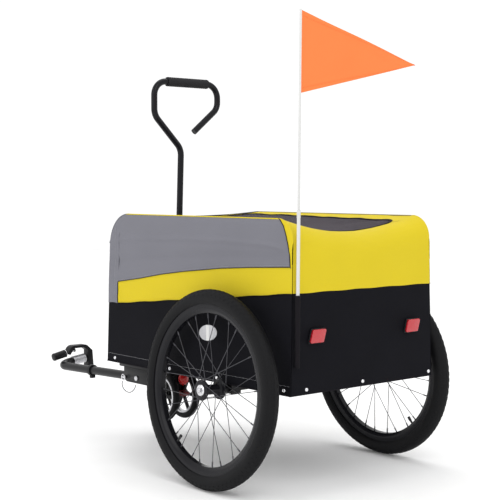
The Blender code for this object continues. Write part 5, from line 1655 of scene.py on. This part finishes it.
# %% Strap clip
ring = lathe(
    [
        (0.0129, 0.006), (0.0160, 0.006), (0.0168, 0.005), (0.0168, -0.005), (0.0160, -0.006),
        (0.0129, -0.006),
    ],
    40,
)
ring = seat(ring, Matrix.Translation((0.256, 0, 0)) @ Matrix.Rotation(math.pi / 2, 4, "Y"))
tab = block((0.250, -0.007, -0.0233), (0.262, 0.007, -0.0150), 0.0015)
finish(
    seat(merge_into(ring, tab), BAR), "clip_ring", BLACK_PLASTIC, "drawbar", "black_plastic",
    ("strap_clip",), 35,
)
print("strap clip round the bar")


# %% [markdown]
# ## Receiver
# A bent channel under the frame holds the bar between two cheeks. Each cheek is a plate of the same
# outline, and two blocks join them at the top and to the frame.


# %% Receiver
CHANNEL_TOP = 0.241
channel_parts = []
for sign in (-1, 1):
    low, high = sorted((0.200 + sign * 0.01455, 0.200 + sign * 0.01745))
    outline = rounded(
        [
            (0.3555, CHANNEL_TOP - 0.042, 0), (0.505, CHANNEL_TOP - 0.042, 0),
            (0.505, CHANNEL_TOP, 0), (0.3555, CHANNEL_TOP, 0),
        ],
        [0.006, 0.018, 0.003, 0.003], 10, True,
    )
    cheek = plate(outline, 0.0029, 0.0008)
    turn = Matrix.Rotation(math.pi / 2, 4, "X")
    channel_parts.append(seat(cheek, Matrix.Translation(at(0, (low + high) / 2, 0)) @ turn))
channel_parts.append(
    block(at(0.3555, 0.1825, CHANNEL_TOP - 0.0030), at(0.5045, 0.2175, CHANNEL_TOP), 0.0012)
)
channel_parts.append(
    block(at(0.3562, 0.1836, CHANNEL_TOP - 0.001), at(0.5300, 0.2164, 0.2583), 0.0012)
)
finish(
    merge_into(*channel_parts), "receiver_channel", BLACK_PAINT, "trailer", "black_paint",
    ("drawbar_receiver",), 35,
)
print("channel made of", len(channel_parts), "parts")

# %% [markdown]
# ## Pivot bolt and pull pin
# The bar turns on a bolt with a domed head and a six-sided nut. The pin has a collar, a cross boss
# and a round wire ring for a finger.

# %% Pivot bolt and pull pin
bolt = lathe(
    [
        (0.0, 0.0042), (0.0050, 0.0042), (0.0062, 0.0036), (0.0072, 0.0024), (0.0072, 0.0),
        (0.0, 0.0),
    ],
    28, closed=False,
)
bolt = seat(bolt, local_frame(at(0.442, 0.2178, 0.214), (1, 0, 0), (0, 1, 0)))
shank = rod(at(0.442, 0.1755, 0.214), at(0.442, 0.2180, 0.214), 0.0039, 20)
bpy.ops.object.select_all(action="DESELECT")
bpy.ops.mesh.primitive_cylinder_add(vertices=6, radius=0.0075, depth=0.0058)
nut = apply_modifier(
    bpy.context.object, "BEVEL", width=0.0006, segments=2, limit_method="ANGLE", angle_limit=0.6
)
nut = seat(nut, local_frame(at(0.442, 0.1790, 0.214), (1, 0, 0), (0, 1, 0)))
finish(
    merge_into(bolt, shank, nut), "pivot_bolt_set", STEEL, "trailer", "steel", ("pivot_bolt",), 35
)
PIN = Matrix.Translation(at(0.49897, 0.2175, 0.21101))
pin = rod((0, -0.0043, 0), (0, 0.0060, 0), 0.0029, 20, 0.0004)
collar = rod((0, 0.0004, 0), (0, 0.0030, 0), 0.0060, 28, 0.0006)
boss = rod((-0.0085, 0.0063, 0), (0.0085, 0.0063, 0), 0.0020, 14, 0.0004)
bpy.ops.object.select_all(action="DESELECT")
bpy.ops.mesh.primitive_torus_add(
    major_radius=0.0080, minor_radius=0.0013, major_segments=48, minor_segments=12,
    location=(0, 0.0065, 0), rotation=(math.pi / 2, 0, 0),
)
pull_ring = seat(bpy.context.object)
finish(
    seat(merge_into(pin, collar, boss, pull_ring), PIN), "pull_pin", CHROME, "lock_pin", "steel",
    ("lock_pin",), 35,
)
print("pin and bolt made")

# %% [markdown]
# ## Lanyard
# The wire hangs in a loop from the pin's side to the pivot bolt. A smooth curve is drawn through
# eight places, so that it passes through each of them without a corner.

# %% Lanyard
route = [
    (0.4990, 0.2262, 0.1995), (0.4975, 0.2290, 0.1915), (0.4880, 0.2310, 0.1810),
    (0.4740, 0.2300, 0.1735),
    (0.4590, 0.2280, 0.1730), (0.4480, 0.2255, 0.1790), (0.4420, 0.2232, 0.1880),
    (0.4400, 0.2212, 0.1960),
]
knots = [at(*point) for point in route]
knots = [knots[0] * 2 - knots[1]] + knots + [knots[-1] * 2 - knots[-2]]
line = []
for a, b, c, d in zip(knots, knots[1:], knots[2:], knots[3:]):
    for step in range(10):
        t = step / 10
        square, cube = 2 * a - 5 * b + 4 * c - d, 3 * b - 3 * c + d - a
        line.append(0.5 * (2 * b + (c - a) * t + square * t**2 + cube * t**3))
line.append(knots[-2])
curve = bpy.data.curves.new("pin_cord", "CURVE")
curve.dimensions = "3D"
curve.bevel_depth = 0.0011
curve.bevel_resolution = 4
curve.use_fill_caps = True
strand = curve.splines.new("POLY")
strand.points.add(len(line) - 1)
for point, place in zip(strand.points, line):
    point.co = (*place, 1)
lanyard = bpy.data.objects.new("pin_cord", curve)
bpy.context.scene.collection.objects.link(lanyard)
finish(lanyard, "pin_cord", DARK_STEEL, "trailer", "steel", ("pin_lanyard",))

# %% [markdown]
# ## Tail reflectors, pennant and pole
# The red reflectors are slanted plates on black bases. The pennant hangs from a hem round a two-piece
# pole, which lifts out of a cloth sleeve at the rear corner, so pole and pennant are one body.

# %% Tail reflectors
for side, name in SIDE_NAMES.items():
    y, face = side * 0.169, -0.241 + 0.004 * 0.140 / 0.423 - 0.0012
    shapes = []
    for margin, thick, x in ((0.0, 0.004, face - 0.002), (0.0018, 0.0060, face - 0.0073)):
        w, h, s = 0.024 - margin, 0.018 - margin, 0.005
        outline = rounded(
            [(-w - s, -h, 0), (w - s, -h, 0), (w + s, h, 0), (-w + s, h, 0)], [0.004] * 4, 6, True
        )
        piece = plate(outline, thick, 0.0012, 3)
        turn = Matrix.Rotation(-math.pi / 2, 4, "Z") @ Matrix.Rotation(math.pi / 2, 4, "X")
        shapes.append(seat(piece, Matrix.Translation(at(x, y, 0.397)) @ turn))
    finish(
        shapes[0], name + "_tail_base", BLACK_PLASTIC, "trailer", "black_plastic",
        (name + "_reflector_base",), 35,
    )
    finish(
        shapes[1], name + "_tail_lens", RED_LENS, "trailer", "red_lens", (name + "_reflector",), 35
    )

print("tail reflectors made:", 2)

# %% [markdown]
# ## Pole and sleeve
# The pole is two white rods joined by a ferrule, standing in a cloth sleeve that is closed below.

# %% Pole and sleeve
lean = math.radians(0.64)
FLAG = local_frame(at(-0.250, 0.239, 0.330), (1, 0, 0), (0, -math.sin(lean), math.cos(lean)))
sleeve = [(0.0050, 0.1685), (0.0066, 0.1685), (0.0068, 0.1640), (0.0061, 0.1600)]
sleeve += [(0.0061 + 0.0003 * math.sin(index * 1.9), 0.150 - index * 0.010) for index in range(15)]
sleeve += [(0.0061, -0.0030), (0.0050, -0.0040), (0.0, -0.0040), (0.0, -0.0004), (0.0046, -0.0004)]
pocket = seat(lathe(sleeve, 28), FLAG)
finish(pocket, "pole_sleeve", BINDING, "trailer", "black_cloth", ("flag_pocket",), 50)
lower = seat(rod((0, 0, 0.0006), (0, 0, 0.3700), 0.0042, 24, 0.0005), FLAG)
ferrule = seat(rod((0, 0, 0.352), (0, 0, 0.3702), 0.0046, 24, 0.0004), FLAG)
finish(
    merge_into(lower, ferrule), "pole_lower", POLE_WHITE, "flag", "fibreglass",
    ("lower_flag_pole",), 40,
)
upper = seat(rod((0, 0, 0.3690), (0, 0, 0.8405), 0.0029, 24, 0.0010), FLAG)
finish(upper, "pole_upper", POLE_WHITE, "flag", "fibreglass", ("upper_flag_pole",), 40)
print("pole leans", round(math.degrees(lean), 2), "degrees")

# %% [markdown]
# ## Pennant
# The pennant is a long triangle of light cloth. A grid is drawn to a point and given a slow wave that
# grows towards the tip, where nothing holds it.


# %% Pennant
def pennant_surface(u, v):
    reach = 0.0034 + 0.4000 * u
    low, high, tip = 0.645, 0.838, 0.7405
    height = low + (high - low) * v
    height = height + (tip - height) * u
    swing = 0.0030 * math.sin(u * 7.0 + 1.0) * u + 0.0012 * soft_noise(u, v, 3, 9) * min(1.0, u * 6)
    return FLAG @ Vector((swing, -reach, height)), reach, height


pennant = tidy_mesh(cloth_grid(70, 26, pennant_surface, 0.0010))
finish(pennant, "pennant", PENNANT, "flag", "orange_cloth", ("flag",), 60)
hem = [pennant_surface(0.0, 0.02 + 0.96 * i / 30)[0] for i in range(31)]
sleeve = sweep(hem, 0.0032, sides=5)
finish(sleeve, "pennant_sleeve", PENNANT, "flag", "orange_cloth", (), 60)
edges = []
for share in (0.06, 0.94):
    points = [
        pennant_surface(0.01 + 0.90 * i / 60, share)[0] + Vector((-0.0008, 0, 0)) for i in range(61)
    ]
    edges.append(stitches(points, 0.005, 0.0003, (-1, 0, 0)))
finish(merge_into(*edges), "pennant_stitches", PENNANT, "flag", "orange_cloth", (), 60)
print("pennant cloth: 0.193 x 0.402 m")

# %% [markdown]
# ## Frame under the cloth
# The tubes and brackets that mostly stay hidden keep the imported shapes. Round tubes that show when
# the cover opens are drawn again with more sides.

# %% Frame
for side, name in SIDE_NAMES.items():
    inset, foot, high = CLOTH + 0.008 + 0.0015, 0.281 + 0.0003, BOX_TOP - 0.030

    def hoop_y(z, side=side, inset=inset):
        return side * (HALF - inset - LEAN * (z - BOX_LOW))

    rear, front = BOX_REAR + CLOTH + 0.011, BOX_FRONT - CLOTH - 0.013
    corners = [
        at(rear, hoop_y(foot), foot), at(rear + 0.004, hoop_y(high), high),
        at(front - 0.007, hoop_y(high), high), at(front, hoop_y(foot), foot),
    ]
    hoop = sweep(
        rounded(corners, [0, REAR_CORNER - 0.006, FRONT_CORNER - 0.010, 0], 12), 0.0079, sides=8
    )
    finish(hoop, name + "_hoop_tube", BLACK_PAINT, "trailer", "black_paint", (name + "_hoop",), 40)
print("hoops made:", len(SIDE_NAMES))

# %% [markdown]
# ## Ring and cross members
# One closed tube goes round the floor with two members across it. The board, axle tube, top bar and
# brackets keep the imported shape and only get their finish.

# %% Ring, cross members and carried pieces
frame_z, half = 0.270, HALF - CLOTH - 0.013
rear, front = BOX_REAR + CLOTH + 0.014, BOX_FRONT - CLOTH - 0.015
corners = [
    at(rear, -half, frame_z), at(front, -half, frame_z), at(front, half, frame_z),
    at(rear, half, frame_z),
]
ring = sweep(rounded(corners, [0.030] * 4, 10, True), 0.0109, closed=True, sides=8)
members = [rod(at(x, -half, frame_z), at(x, half, frame_z), 0.0094, 32) for x in (0.10, 0.36)]
finish(
    merge_into(ring, *members), "frame_tubes", BLACK_PAINT, "trailer", "black_paint",
    ("base_frame",), 40,
)
for name, material in (
    ("floor_panel", FLOOR_BOARD), ("axle_tube", BLACK_PAINT), ("front_top_bar", BLACK_PAINT),
    ("left_axle_bracket", BLACK_PAINT), ("right_axle_bracket", BLACK_PAINT),
):
    node = frame["nodes"][name]
    node.data.materials.clear()
    node.data.materials.append(material)
